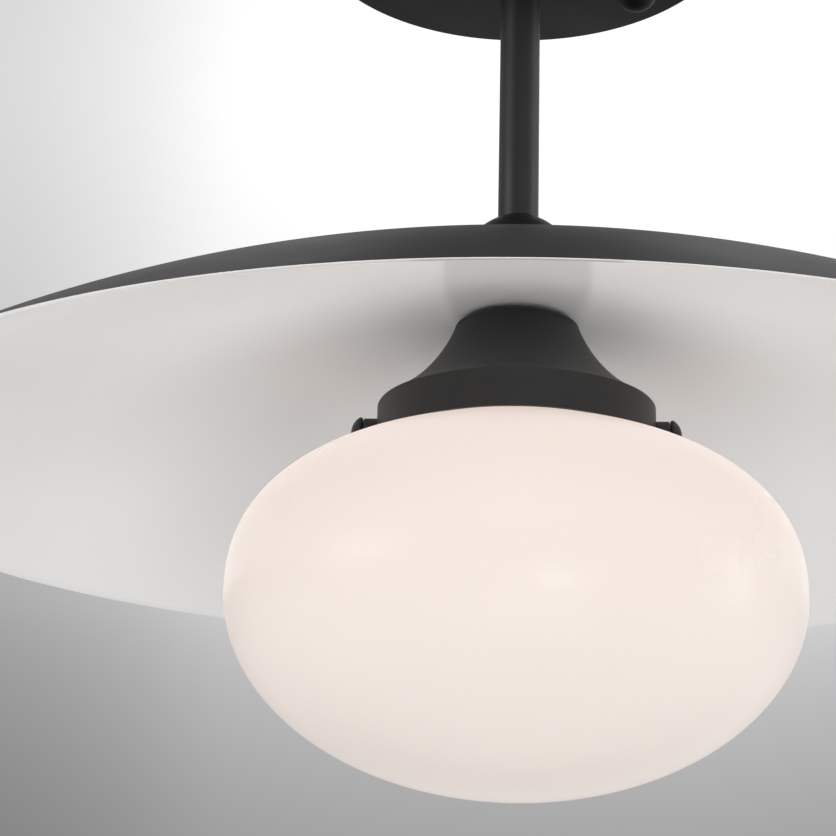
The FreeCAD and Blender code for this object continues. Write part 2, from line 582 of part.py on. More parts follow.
def glass_holder():
    """Bell of even wall: round-edged top, hollow curve, sharp shoulder and straight skirt."""
    body = new_body("glass_holder")
    hole = "(nipple_radius + nipple_gap)"
    crown = bell_out("holder_top_round")
    shoulder = bell_drop("holder_skirt_radius")
    skirt_inside = "(holder_skirt_radius - holder_wall)"
    foot = "(%s + holder_skirt_height)" % shoulder
    inner_crown = bell_out("(holder_wall + 0.6)", "holder_wall")
    corners = [(hole, "0"), ("%s - holder_top_round" % crown, "0"),
               (crown, "-holder_top_round"), ("holder_skirt_radius", "-%s" % shoulder),
               ("holder_skirt_radius", "-%s" % foot), (skirt_inside, "-%s" % foot),
               (skirt_inside, "-%s" % bell_drop(skirt_inside, "holder_wall")),
               (inner_crown, "-(holder_wall + 0.6)"), ("%s - 0.6" % inner_crown, "-holder_wall"),
               (hole, "-holder_wall")]
    turned(body, "bell", corners, {1: ("holder_top_round", -1), 2: ("bell_arc_radius", 1),
                                   6: ("bell_arc_radius + holder_wall", -1)})
    bosses(body)
    place(body, HOLDER_TOP)
    clock(body)


def bosses(body):
    """Two tapped bosses across the skirt, on the body's own X axis."""
    root = "(holder_skirt_radius - holder_wall * 0.5)"
    for name, sign, backwards in (("right", "", False), ("left", "-", True)):
        disc = new_sketch(body, name + "_boss_end", "YZ_Plane")
        disc.setExpression("AttachmentOffset.Base.z", bound("%s%s" % (sign, root)))
        ring(disc, "boss_radius", "0", "-%s" % BOSS_DROP)
        pad(body, name + "_boss", disc, "boss_reach - %s" % root, backwards=backwards)
    tap = new_sketch(body, "tapping", "YZ_Plane")
    ring(tap, "screw_radius + thread_gap", "0", "-%s" % BOSS_DROP)
    cut_through(body, "tapped_holes", tap)


def thumbscrew(label, sign):
    """Domed thumbscrew, drawn along its own X from the holder's axis."""
    body = new_body(label)
    head = "(boss_reach + thumbscrew_head_gap)"
    end = "(%s + thumbscrew_head_length)" % head
    collar = "(%s + 0.9)" % head
    way = "1" if sign == "" else "-1"
    bend = -1 if sign == "" else 1
    dome = "((thumbscrew_head_radius ^ 2 + (%s - %s) ^ 2) / (2 * (%s - %s)))" % (end, collar, end, collar)
    corners = [("thumbscrew_tip", "0"), ("thumbscrew_tip", "screw_radius - thumbscrew_point"),
               ("thumbscrew_tip + thumbscrew_point", "screw_radius"), (head, "screw_radius"),
               (head, "thumbscrew_head_radius - 0.6"), ("%s + 0.6" % head, "thumbscrew_head_radius"),
               (collar, "thumbscrew_head_radius"), (end, "0")]
    corners = [("%s * (%s)" % (way, x), y) for x, y in corners]
    sketch = new_sketch(body, "outline", "XZ_Plane")
    outline(sketch, corners, {6: (dome, bend)})
    feature = body.newObject("PartDesign::Revolution", label + "_form")
    feature.Profile = sketch
    feature.ReferenceAxis = (sketch, ["H_Axis"])
    feature.Angle = 360
    place(body, THUMBSCREW_AXIS)
    clock(body)


# ---------------------------------------------------------------- opal globe

def oval(radius, rise, power, start, end, steps=14):
    """Points of a squared oval between two of its angles, from the widest ring up."""
    points = []
    for step in range(steps + 1):
        angle = start + (end - start) * step / steps
        out = radius * max(math.cos(angle), 0.0) ** (2 / power)
        up = rise * max(math.sin(angle), 0.0) ** (2 / power)
        points.append(FreeCAD.Vector(out, 0, up))
    return points


def oval_angle(radius, power, out):
    return math.acos((out / radius) ** (power / 2))


def oval_slope(radius, rise, power, out):
    """How steeply the squared oval falls at a distance from the axis."""
    part = out / radius
    return rise / radius * part ** (power - 1) * (1 - part ** power) ** (1 / power - 1)


def curve_through(points, first_way, last_way):
    spline = Part.BSplineCurve()
    spline.interpolate(Points=points, InitialTangent=first_way, FinalTangent=last_way)
    return spline.toShape()


def line(first, last):
    return Part.LineSegment(first, last).toShape()


def hollow_start(radius, rise, power, waist, hollow):
    """Where the shoulder runs smoothly into the hollow under the waist, and its slope there."""
    out = waist + hollow
    for turn in range(12):
        slope = oval_slope(radius, rise, power, out)
        out = waist + hollow * (1 - slope / math.sqrt(1 + slope ** 2))
    return out, slope


def glass_side(inset):
    """Curves of one side of the glass, from the pole below up to the waist; inset is 0 or the wall."""
    radius = number("globe_radius") - inset
    fall = number("globe_base") - inset
    rise = number("globe_shoulder") - inset
    power = number("globe_shoulder_power")
    waist = number("neck_radius") - inset
    hollow = number("neck_fillet") + inset
    out, slope = hollow_start(radius, rise, power, waist, hollow)
    lower = oval(radius, -fall, 2.0, math.pi / 2, 0.0)
    upper = oval(radius, rise, power, 0.0, oval_angle(radius, power, out))
    lean = math.atan(slope)
    centre = FreeCAD.Vector(waist + hollow, 0, upper[-1].z + hollow * math.cos(lean))
    half_way = (math.pi + 3 * math.pi / 2 - lean) / 2
    middle = centre + FreeCAD.Vector(math.cos(half_way), 0, math.sin(half_way)) * hollow
    top = FreeCAD.Vector(waist, 0, centre.z)
    upwards = FreeCAD.Vector(0, 0, 1)
    inwards = FreeCAD.Vector(-math.cos(lean), 0, math.sin(lean))
    edges = [curve_through(lower, FreeCAD.Vector(1, 0, 0), upwards),
             curve_through(upper, upwards, inwards),
             Part.Arc(upper[-1], middle, top).toShape()]
    return edges, top


def glass_globe():
    """Blown opal globe: flattened oval, hollow neck and a lip that the thumbscrews catch."""
    wall = number("globe_wall")
    outer, outer_top = glass_side(0.0)
    inner, inner_top = glass_side(wall)
    foot = number(LIP_FOOT)
    lip = number("lip_radius")
    top = foot + number("lip_height")
    waist = number("neck_radius")
    steps = [outer_top, FreeCAD.Vector(waist, 0, foot), FreeCAD.Vector(lip, 0, foot),
             FreeCAD.Vector(lip, 0, top - 0.8), FreeCAD.Vector(lip - 0.8, 0, top),
             FreeCAD.Vector(waist - wall, 0, top), inner_top]
    edges = outer + inner
    edges += [line(first, last) for first, last in zip(steps, steps[1:])]
    pole = number("globe_base")
    edges.append(line(FreeCAD.Vector(0, 0, -pole), FreeCAD.Vector(0, 0, wall - pole)))
    wire = Part.Wire(Part.__sortEdges__(edges))
    glass = Part.Face(wire).revolve(FreeCAD.Vector(), FreeCAD.Vector(0, 0, 1), 360)
    solid_feature("glass_globe", glass, GLOBE_MIDDLE)


def solid_feature(label, shape, level):
    feature = doc.addObject("Part::Feature", label)
    feature.Label = label
    feature.Shape = shape if shape.ShapeType == "Solid" else Part.Solid(shape)
    feature.setExpression("Placement.Base.z", bound(level))
    BODIES.append(feature)


# ---------------------------------------------------------------- socket and lamp

def socket_cap():
    """Metal cap that screws on to the nipple and carries the socket body."""
    body = new_body("socket_cap")
    hole = "(nipple_radius + nipple_gap)"
    inside = "(socket_cap_radius - socket_cap_wall)"
    bend = "(socket_cap_radius - socket_cap_round)"
    corners = [(hole, "0"), (bend, "0"), ("socket_cap_radius", "-socket_cap_round"),
               ("socket_cap_radius", "-socket_cap_height"), (inside, "-socket_cap_height"),
               (inside, "-socket_cap_round"), (bend, "-socket_cap_wall"), (hole, "-socket_cap_wall")]
    turned(body, "cup", corners, {1: ("socket_cap_round", -1),
                                  5: ("socket_cap_round - socket_cap_wall", 1)})
    place(body, HOLDER_NUT_FOOT)


def socket_body():
    """Moulded body with the lamp hole below, two terminal pockets, and a spigot in the cap."""
    body = new_body("socket_body")
    spigot = "(socket_cap_radius - socket_cap_wall - socket_cap_fit)"
    collar = "(socket_cap_wall - socket_cap_height - 0.3)"
    lamp_hole = "(shell_radius + shell_fit)"
    well = "(nipple_radius + 2)"
    well_floor = "(-nipple_end - 2)"
    corners = [(well, "0"), (spigot + " - 1.4", "0"), (spigot, "-1.4"), (spigot, collar),
               ("socket_radius", collar), ("socket_radius", "-socket_height + 0.8"),
               ("socket_radius - 0.8", "-socket_height"), (lamp_hole, "-socket_height"),
               (lamp_hole, SOCKET_FLOOR), ("0", SOCKET_FLOOR), ("0", well_floor), (well, well_floor)]
    turned(body, "moulding", corners)
    half = "terminal_pocket / 2"
    for name, sign, backwards in (("right", "", False), ("left", "-", True)):
        window = new_sketch(body, name + "_window", "YZ_Plane")
        window.setExpression("AttachmentOffset.Base.z", bound(sign + "socket_radius"))
        outline(window, [("-" + half, "-terminal_drop - " + half), (half, "-terminal_drop - " + half),
                         (half, "-terminal_drop + " + half), ("-" + half, "-terminal_drop + " + half)])
        cut(body, name + "_terminal_pocket", window, "terminal_depth", backwards)
    place(body, SOCKET_TOP)


def socket_shell():
    """Drawn brass shell that takes the lamp's screw base."""
    body = new_body("socket_shell")
    inside = "(shell_radius - shell_wall)"
    corners = [(inside, "-socket_height + 0.5"), ("shell_radius", "-socket_height + 0.5"),
               ("shell_radius", SOCKET_FLOOR), ("shell_radius - 3", SOCKET_FLOOR),
               ("shell_radius - 3", "%s - shell_wall" % SOCKET_FLOOR),
               (inside, "%s - shell_wall" % SOCKET_FLOOR)]
    turned(body, "cup", corners)
    place(body, SOCKET_TOP)


def socket_contact():
    """Sprung strip at the bottom of the lamp hole, bent down to meet the lamp's tip."""
    body = new_body("socket_contact")
    strip = new_sketch(body, "strip", "XZ_Plane")
    low = "%s - contact_rise" % SOCKET_FLOOR
    corners = [("-8", SOCKET_FLOOR), ("-3", SOCKET_FLOOR), ("0", low), ("4", low),
               ("4", "%s - contact_wall" % low), ("-0.3", "%s - contact_wall" % low),
               ("-3.3", "%s - contact_wall" % SOCKET_FLOOR), ("-8", "%s - contact_wall" % SOCKET_FLOOR)]
    outline(strip, corners)
    pad(body, "spring", strip, "contact_width", symmetric=True)
    place(body, SOCKET_TOP)


def terminal_screw(label, sign):
    """Slotted head of a wire terminal, seated in its pocket and drawn along X."""
    body = new_body(label)
    seat = "(socket_radius - terminal_depth)"
    top = "(%s + screw_head_height)" % seat
    corners = [(seat, "0"), (seat, "screw_head_radius"),
               ("%s - screw_head_round" % top, "screw_head_radius"),
               (top, "screw_head_radius - screw_head_round"), (top, "0")]
    corners = [("%s(%s)" % (sign, x), y) for x, y in corners]
    sketch = new_sketch(body, "outline", "XZ_Plane")
    outline(sketch, corners, {2: ("screw_head_round", 1 if sign else -1)})
    feature = body.newObject("PartDesign::Revolution", label + "_form")
    feature.Profile = sketch
    feature.ReferenceAxis = (sketch, ["H_Axis"])
    feature.Angle = 360
    driver = new_sketch(body, "driver_slot", "XZ_Plane")
    half = "driver_slot_width / 2"
    ends = [("%s(%s - driver_slot_depth)" % (sign, top)), ("%s(%s + 1)" % (sign, top))]
    outline(driver, [(ends[0], "-" + half), (ends[1], "-" + half), (ends[1], half), (ends[0], half)])
    cut_through(body, "driver_cut", driver)
    place(body, "%s - terminal_drop" % SOCKET_TOP)


def lamp():
    """Small round lamp: screw base, glass insulator, solder tip and frosted envelope."""
    base_top = "(-lamp_tip_height - lamp_insulator_height)"
    base_foot = "(%s - lamp_base_height)" % base_top
    inside = "(lamp_base_radius - lamp_base_wall)"
    tip = new_body("lamp_tip")
    turned(tip, "button", [("0", "-lamp_tip_height"), ("lamp_tip_radius", "-lamp_tip_height"),
                           ("lamp_tip_radius * 0.6", "0"), ("0", "0")])
    place(tip, LAMP_TIP)
    insulator = new_body("lamp_insulator")
    turned(insulator, "cone", [("0", base_top), ("lamp_base_radius - 2", base_top),
                               ("lamp_tip_radius + 0.4", "-lamp_tip_height"), ("0", "-lamp_tip_height")])
    place(insulator, LAMP_TIP)
    base = new_body("lamp_base")
    turned(base, "shell", [(inside, base_foot), ("lamp_base_radius", base_foot),
                           ("lamp_base_radius", "%s - 1.6" % base_top),
                           ("lamp_base_radius - 2", base_top), ("0", base_top),
                           ("0", "%s - lamp_base_wall" % base_top),
                           ("lamp_base_radius - 2.2", "%s - lamp_base_wall" % base_top),
                           (inside, "%s - 1.8" % base_top)])
    place(base, LAMP_TIP)
    glass = new_body("lamp_glass")
    ball = "(lamp_bulb_radius - lamp_length)"
    neck_top = "(%s + lamp_base_height * 0.5)" % base_foot
    neck_foot = "(%s - 1)" % base_foot
    touch = "(%s + lamp_bulb_radius * 0.8)" % ball
    touch_inside = "(%s + (lamp_bulb_radius - lamp_glass_wall) * 0.8)" % ball
    corners = [("lamp_neck_radius - lamp_glass_wall", neck_top), ("lamp_neck_radius", neck_top),
               ("lamp_neck_radius", neck_foot), ("lamp_bulb_radius * 0.6", touch),
               ("0", "-lamp_length"), ("0", "lamp_glass_wall - lamp_length"),
               ("(lamp_bulb_radius - lamp_glass_wall) * 0.6", touch_inside),
               ("lamp_neck_radius - lamp_glass_wall", neck_foot)]
    turned(glass, "envelope", corners, {3: ("lamp_bulb_radius", -1),
                                        5: ("lamp_bulb_radius - lamp_glass_wall", 1)})
    place(glass, LAMP_TIP)


# ---------------------------------------------------------------- put together

def build():
    screw_reach = "canopy_depth - crossbar_set_down + ball_nut_grip"
    crossbar()
    pan_head_screw("ground_screw", "ground_screw_reach", "-crossbar_wall", "-ground_screw_offset", True)
    for side, sign in (("left", "-"), ("right", "")):
        pan_head_screw("canopy_screw_" + side, screw_reach, "-crossbar_set_down",
                       "%scanopy_screw_spacing / 2" % sign, False)
        ball_nut("ball_nut_" + side, sign)
    canopy()
    washer_top = "(%s + washer_wall)" % CANOPY_FLOOR
    lock_washer("canopy_lock_washer", CANOPY_FLOOR)
    hex_nut("canopy_hex_nut", washer_top)
    nipple("canopy_nipple", "(%s - nipple_grip)" % CANOPY_FACE,
           "(%s + nut_height + nipple_end)" % washer_top)
    stem()
    stem_cap()
    shade()
    nipple("shade_nipple", "(%s - nipple_end)" % SOCKET_TOP, "(%s + nipple_grip)" % STEM_FOOT)
    tube("seat_washer", "seat_washer_radius", "nipple_radius + nipple_gap", "seat_washer_wall", SEAT_WASHER)
    glass_holder()
    thumbscrew("thumbscrew_left", "-")
    thumbscrew("thumbscrew_right", "")
    lock_washer("holder_lock_washer", "(%s - washer_wall)" % HOLDER_CEILING)
    hex_nut("holder_hex_nut", HOLDER_NUT_FOOT)
    socket_cap()
    socket_body()
    socket_shell()
    socket_contact()
    terminal_screw("terminal_screw_brass", "")
    terminal_screw("terminal_screw_silver", "-")
    glass_globe()
    lamp()


def check():
    """Every object is settled and every piece is whole."""
    for item in doc.Objects:
        if "Invalid" in item.State or "Error" in item.State:
            raise RuntimeError("%s did not settle: %s" % (item.Label, item.State))
    for body in BODIES:
        shape = body.Shape
        if shape.isNull() or not shape.isValid() or shape.Volume <= 0:
            raise RuntimeError(body.Label + " is not a sound solid")


def export():
    os.makedirs("parts", exist_ok=True)
    for body in BODIES:
        box = body.Shape.BoundBox
        print("%-20s %10.1f mm3  z %8.2f to %8.2f  x %7.2f to %7.2f  solids %d" % (
            body.Label, body.Shape.Volume, box.ZMin, box.ZMax, box.XMin, box.XMax, len(body.Shape.Solids)))
        body.Shape.exportStep("parts/%s.step" % body.Label)


build()
doc.recompute()
check()
export()
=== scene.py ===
# %% [markdown]
# # Semi flush ceiling light, a lesson in dressing a turned fixture
# The light is a stack of turned parts on one upright axis: a canopy pan at the ceiling, a tube
# stem, a domed cap, a wide shallow shade, a bell that holds the glass, and a flattened opal globe.
# Almost all of it was made on a lathe, a spinning bench or a glass blower's pipe, so almost all of
# it can be drawn as half a section and turned round the axis. The imported model gives every level
# and radius, so the first step is to load it.

# %% Load the imported model
import json
import math

import bmesh
import bpy
from mathutils import Matrix, Vector


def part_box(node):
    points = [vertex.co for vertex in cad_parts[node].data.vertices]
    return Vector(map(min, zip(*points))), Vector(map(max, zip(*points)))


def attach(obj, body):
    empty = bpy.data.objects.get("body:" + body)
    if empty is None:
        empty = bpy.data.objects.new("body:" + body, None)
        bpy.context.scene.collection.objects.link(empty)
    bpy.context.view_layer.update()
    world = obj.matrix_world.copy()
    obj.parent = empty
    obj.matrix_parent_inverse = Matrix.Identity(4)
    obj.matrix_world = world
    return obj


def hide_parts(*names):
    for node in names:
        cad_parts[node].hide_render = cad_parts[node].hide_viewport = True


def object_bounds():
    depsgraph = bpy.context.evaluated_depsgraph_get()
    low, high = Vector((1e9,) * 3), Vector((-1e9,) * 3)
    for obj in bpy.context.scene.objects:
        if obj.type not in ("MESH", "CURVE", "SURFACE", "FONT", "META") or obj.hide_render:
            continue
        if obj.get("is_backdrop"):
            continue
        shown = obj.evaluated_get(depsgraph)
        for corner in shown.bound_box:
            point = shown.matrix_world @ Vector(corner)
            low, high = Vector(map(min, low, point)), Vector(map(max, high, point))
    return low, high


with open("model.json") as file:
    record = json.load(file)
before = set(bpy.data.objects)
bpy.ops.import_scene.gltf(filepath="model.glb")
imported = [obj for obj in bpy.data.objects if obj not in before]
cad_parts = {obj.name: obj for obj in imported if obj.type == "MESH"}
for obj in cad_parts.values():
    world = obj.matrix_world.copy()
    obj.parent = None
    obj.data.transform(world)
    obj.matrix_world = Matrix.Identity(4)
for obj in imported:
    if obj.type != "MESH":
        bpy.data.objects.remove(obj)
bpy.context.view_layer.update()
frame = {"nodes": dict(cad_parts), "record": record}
MM = 0.001

# %% [markdown]
# The photograph was taken from just under the shade, looking up a little, with the light cut off
# at the top and at both sides. A camera could be placed by eye, but the ellipses of the rim, the
# globe and the skirt fix it well: its distance, its height and its three turns were fitted to
# them. It looks squarely at the line of the thumbscrews, which is clocked from the ceiling bar by
# 29 degrees. It is made first, because every later choice is judged through it.

# %% The camera
SHADE_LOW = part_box("shade")[0]
CLOCKING = -29.0
AWAY, BELOW_RIM, LENS = 0.5809, 0.1511, 86.12
pitch, yaw, roll = 0.2995, -0.0513, 0.0258
camera_turn = Matrix.Rotation(math.radians(CLOCKING), 3, "Z")
forward = camera_turn @ Vector((math.sin(yaw) * math.cos(pitch),
                                math.cos(yaw) * math.cos(pitch), math.sin(pitch)))
level_right = camera_turn @ Vector((math.cos(yaw), -math.sin(yaw), 0))
level_up = level_right.cross(forward)
camera_right = math.cos(roll) * level_right + math.sin(roll) * level_up
camera_up = math.cos(roll) * level_up - math.sin(roll) * level_right
camera_place = camera_turn @ Vector((0, -AWAY, 0))
camera_place.z = SHADE_LOW.z - BELOW_RIM
camera = bpy.data.objects.new("camera", bpy.data.cameras.new("camera"))
bpy.context.scene.collection.objects.link(camera)
camera.matrix_world = Matrix((
    (camera_right.x, camera_up.x, -forward.x, camera_place.x),
    (camera_right.y, camera_up.y, -forward.y, camera_place.y),
    (camera_right.z, camera_up.z, -forward.z, camera_place.z),
    (0, 0, 0, 1)))
camera.data.sensor_width = 36.0
camera.data.lens = LENS
camera.data.clip_start = 0.01
bpy.context.scene.camera = camera
print("camera at", [round(v, 3) for v in camera_place], "lens", camera.data.lens)

# %% [markdown]
# The light hangs in a studio with a pale backdrop: white above and to the right, falling to grey
# on the left and towards the floor. A painted wall behind the light would do, but it would show
# only from the front. The world can hold the same fall of light for every direction, so it is
# seen behind the light, and in its gloss, from all sides. Rays that only light the piece get one
# even, plain level instead. One ramp runs from below to above and one from left to right, and the
# world multiplies them. A ramp can't hold a grey above one, so those of the rising ramp are written
# at half their level, and the strength of the seen backdrop doubles them.

# %% Two ramps for the backdrop
bpy.context.scene.view_settings.view_transform = "Standard"
world = bpy.data.worlds.new("studio")
world.use_nodes = True
bpy.context.scene.world = world
sky = world.node_tree
sky.nodes.clear()


def world_node(kind, unlinked=None):
    """Adds one node to the studio's world and sets its unlinked inputs by name."""
    node = sky.nodes.new(kind)
    for name, value in (unlinked or {}).items():
        node.inputs[name].default_value = value
    return node


def world_ramp(factor, stops):
    """Greys along a factor; stops are (place, grey) pairs, smoothly joined."""
    ramp = world_node("ShaderNodeValToRGB")
    ramp.color_ramp.interpolation = "B_SPLINE"
    while len(ramp.color_ramp.elements) < len(stops):
        ramp.color_ramp.elements.new(0.5)
    for element, (place, grey) in zip(ramp.color_ramp.elements, stops):
        element.position = place
        element.color = (grey, grey, grey * 1.004, 1)
    sky.links.new(factor, ramp.inputs["Fac"])
    return ramp.outputs["Color"]


direction = world_node("ShaderNodeTexCoord").outputs["Generated"]
height = world_node("ShaderNodeSeparateXYZ")
sky.links.new(direction, height.inputs["Vector"])
half_up = world_node("ShaderNodeMapRange", {"From Min": -1.0})
sky.links.new(height.outputs["Z"], half_up.inputs["Value"])
sideways = world_node("ShaderNodeVectorMath")
sideways.operation = "DOT_PRODUCT"
sideways.inputs[1].default_value = level_right
sky.links.new(direction, sideways.inputs[0])
half_side = world_node("ShaderNodeMapRange", {"From Min": -1.0})
sky.links.new(sideways.outputs["Value"], half_side.inputs["Value"])
rise_stops = [(0.22, 0.05), (0.28, 0.09), (0.35, 0.27), (0.42, 0.27), (0.50, 0.165),
              (0.53, 0.172), (0.555, 0.208), (0.580, 0.265), (0.600, 0.32),
              (0.65, 0.475), (0.69, 0.535), (0.73, 0.60), (0.80, 0.44), (0.88, 0.30)]
side_stops = [(0.30, 0.56), (0.40, 0.61), (0.43, 0.74), (0.455, 0.92),
              (0.50, 0.97), (0.57, 1.0), (0.61, 0.93)]
rise_tone = world_ramp(half_up.outputs["Result"], rise_stops)
side_tone = world_ramp(half_side.outputs["Result"], side_stops)
print("backdrop stops", len(rise_stops), "up", len(side_stops), "across")

# %% The world that joins them
SEEN_STRENGTH, AIR = 2.0, 0.50


def larger(one, other):
    """The larger of two values in the world's tree."""
    node = world_node("ShaderNodeMath")
    node.operation = "MAXIMUM"
    sky.links.new(one, node.inputs[0])
    sky.links.new(other, node.inputs[1])
    return node.outputs[0]


backdrop_tone = world_node("ShaderNodeMix")
backdrop_tone.data_type = "RGBA"
backdrop_tone.blend_type = "MULTIPLY"
backdrop_tone.inputs["Factor"].default_value = 1.0
sky.links.new(rise_tone, backdrop_tone.inputs["A"])
sky.links.new(side_tone, backdrop_tone.inputs["B"])
seen = world_node("ShaderNodeBackground", {"Strength": SEEN_STRENGTH})
sky.links.new(backdrop_tone.outputs["Result"], seen.inputs["Color"])
air = world_node("ShaderNodeBackground", {"Color": (1.0, 1.0, 1.0, 1.0), "Strength": AIR})
rays = world_node("ShaderNodeLightPath").outputs
seen_or_mirrored = larger(rays["Is Camera Ray"], rays["Is Glossy Ray"])
choose = world_node("ShaderNodeMixShader")
sky.links.new(larger(seen_or_mirrored, rays["Is Transmission Ray"]), choose.inputs["Fac"])
sky.links.new(air.outputs["Background"], choose.inputs[1])
sky.links.new(seen.outputs["Background"], choose.inputs[2])
sky_out = world_node("ShaderNodeOutputWorld")
sky.links.new(choose.outputs["Shader"], sky_out.inputs["Surface"])
print("even light", AIR)

# %% [markdown]
# Highlights on the globe tell where the studio's lights stood: a broad one on the left, a tall one
# on the right and a small one just under the camera. Each is a soft box. It is placed by the angle
# at which the glass mirrors it, and it faces the globe. The white inside of the shade is bright
# too, which takes light from below, so three more boxes stand low: one close in front and two far
# at the back. Those only light. The glass would show them as spots that aren't there, so they are
# kept out of mirror images. All the power stays low, because white has to keep its drawing.

# %% Soft boxes
GLOBE_LOW, GLOBE_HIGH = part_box("glass_globe")
globe_middle = Vector((0, 0, (GLOBE_LOW.z + GLOBE_HIGH.z) / 2))


def soft_box(name, side, rise, away, width, tall, watts, mirrored=True):
    """A light that faces the globe; side and rise are degrees from the camera's side of it."""
    turn, lift = math.radians(side), math.radians(rise)
    towards = camera_turn @ Vector((math.sin(turn) * math.cos(lift),
                                    -math.cos(turn) * math.cos(lift), math.sin(lift)))
    lamp = bpy.data.lights.new(name, "AREA")
    lamp.shape = "RECTANGLE"
    lamp.size = width
    lamp.size_y = tall
    lamp.energy = watts
    box = bpy.data.objects.new(name, lamp)
    box.location = globe_middle + towards * away
    box.rotation_euler = (-towards).to_track_quat("-Z", "Y").to_euler()
    box.visible_glossy = mirrored
    bpy.context.scene.collection.objects.link(box)
    print(name, watts, "W at", [round(v, 2) for v in box.location])


soft_box("soft_box_left", -58, 15, 1.7, 0.8, 0.9, 7.6)
soft_box("soft_box_right", 91, 13, 1.7, 0.4, 1.5, 4.7)
soft_box("soft_box_low", 8, -41, 0.58, 0.42, 0.24, 1.4, mirrored=False)
soft_box("soft_box_low_left", -112, -34, 1.8, 1.3, 0.7, 6.5, mirrored=False)
soft_box("soft_box_low_right", 112, -34, 1.8, 1.3, 0.7, 7.0, mirrored=False)
soft_box("soft_box_front", 15, -20, 1.5, 0.32, 0.08, 1.6)

# %% [markdown]
# The floor lies far below, as under a hanging light in a tall studio, so that a view from under
# the shade isn't blocked. It reaches so far out that no view shows its edge. It is kept out of
# mirror images, so that the canopy's satin underside mirrors the dark foot of the backdrop. It is
# plain and pale, with a hardly visible unevenness.

# %% The floor
floor_mesh = bpy.data.meshes.new("floor")
REACH, DEEP = 30.0, -2.2
floor_mesh.from_pydata([(-REACH, -REACH, DEEP), (REACH, -REACH, DEEP),
                        (REACH, REACH, DEEP), (-REACH, REACH, DEEP)], [], [(0, 1, 2, 3)])
floor = bpy.data.objects.new("floor", floor_mesh)
floor.visible_glossy = False
bpy.context.scene.collection.objects.link(floor)
floor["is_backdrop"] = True
print("floor at", DEEP, "reaches", REACH)

# %% [markdown]
# A finish is a shader with some life in it. On real paint, glass or plating the colour, the gloss
# and the surface all wander a little. Image textures could carry that, but noise made by nodes
# holds at any distance and needs no file. One helper starts a finish and one makes the noise, which
# can be stretched as brushing does. Three more let that noise move the colour, the gloss and, as a
# fine grain, the surface.

# %% A helper that starts a finish
FINISHES = {}


def new_finish(name, colour, roughness, metallic=0.0):
    """A material with one Principled shader, on the piece's own coordinates."""
    finish = bpy.data.materials.new(name)
    finish.use_nodes = True
    shader = finish.node_tree.nodes["Principled BSDF"]
    shader.inputs["Base Color"].default_value = (*colour, 1.0)
    shader.inputs["Roughness"].default_value = roughness
    shader.inputs["Metallic"].default_value = metallic
    place = finish.node_tree.nodes.new("ShaderNodeTexCoord")
    place.name = "place"
    FINISHES[name] = finish
    return finish, shader


def noise(finish, scale, detail=4.0, stretch=None):
    """Noise in object space; stretch squeezes it along an axis, as brushing does."""
    tree = finish.node_tree
    grain = tree.nodes.new("ShaderNodeTexNoise")
    grain.inputs["Scale"].default_value = scale
    grain.inputs["Detail"].default_value = detail
    source = tree.nodes["place"].outputs["Object"]
    if stretch:
        mapping = tree.nodes.new("ShaderNodeMapping")
        mapping.inputs["Scale"].default_value = stretch
        tree.links.new(source, mapping.inputs["Vector"])
        source = mapping.outputs["Vector"]
    tree.links.new(source, grain.inputs["Vector"])
    return grain.outputs["Fac"]


print("a finish starts on the piece's own coordinates")

# %% Helpers for drifting colour and gloss, and for grain
def drift_colour(finish, factor, dark, light):
    """Base colour that runs from dark to light over a noise."""
    tree = finish.node_tree
    ramp = tree.nodes.new("ShaderNodeValToRGB")
    ramp.color_ramp.elements[0].position = 0.32
    ramp.color_ramp.elements[1].position = 0.68
    ramp.color_ramp.elements[0].color = (*dark, 1.0)
    ramp.color_ramp.elements[1].color = (*light, 1.0)
    tree.links.new(factor, ramp.inputs["Fac"])
    tree.links.new(ramp.outputs["Color"], tree.nodes["Principled BSDF"].inputs["Base Color"])


def drift_gloss(finish, factor, low, high):
    """Roughness that runs from low to high over a noise."""
    tree = finish.node_tree
    reach = tree.nodes.new("ShaderNodeMapRange")
    reach.inputs["From Min"].default_value = 0.3
    reach.inputs["From Max"].default_value = 0.7
    reach.inputs["To Min"].default_value = low
    reach.inputs["To Max"].default_value = high
    tree.links.new(factor, reach.inputs["Value"])
    tree.links.new(reach.outputs["Result"], tree.nodes["Principled BSDF"].inputs["Roughness"])


def bump(finish, factor, depth, strength):
    """Bends the surface by a noise; a second call adds to the first."""
    tree = finish.node_tree
    normal = tree.nodes["Principled BSDF"].inputs["Normal"]
    node = tree.nodes.new("ShaderNodeBump")
    node.inputs["Strength"].default_value = strength
    node.inputs["Distance"].default_value = depth
    tree.links.new(factor, node.inputs["Height"])
    if normal.is_linked:
        tree.links.new(normal.links[0].from_socket, node.inputs["Normal"])
    tree.links.new(node.outputs["Normal"], normal)


print("finish helpers ready")

# %% [markdown]
# ## Black paint
# The canopy, stem, cap, shade, bell and thumbscrews wear one satin black powder paint. Powder
# paint melts into a film with a very fine orange peel, so its gloss is soft and wide. The paint
# could be one grey value, but then the shade's broad outside would look like plastic sheet. A fine
# peel and a slow drift of gloss break it up without drawing attention.

# %% Black paint
black, black_shader = new_finish("black_paint", (0.0095, 0.0095, 0.0099), 0.5)
drift_colour(black, noise(black, 60.0), (0.0083, 0.0084, 0.0087), (0.0110, 0.0110, 0.0114))
drift_gloss(black, noise(black, 22.0, 5.0), 0.44, 0.54)
bump(black, noise(black, 1500.0, 2.0), 0.00006, 0.35)
bump(black, noise(black, 260.0, 2.0), 0.0001, 0.12)
black_shader.inputs["Specular IOR Level"].default_value = 0.5
print("black paint", FINISHES["black_paint"].name)

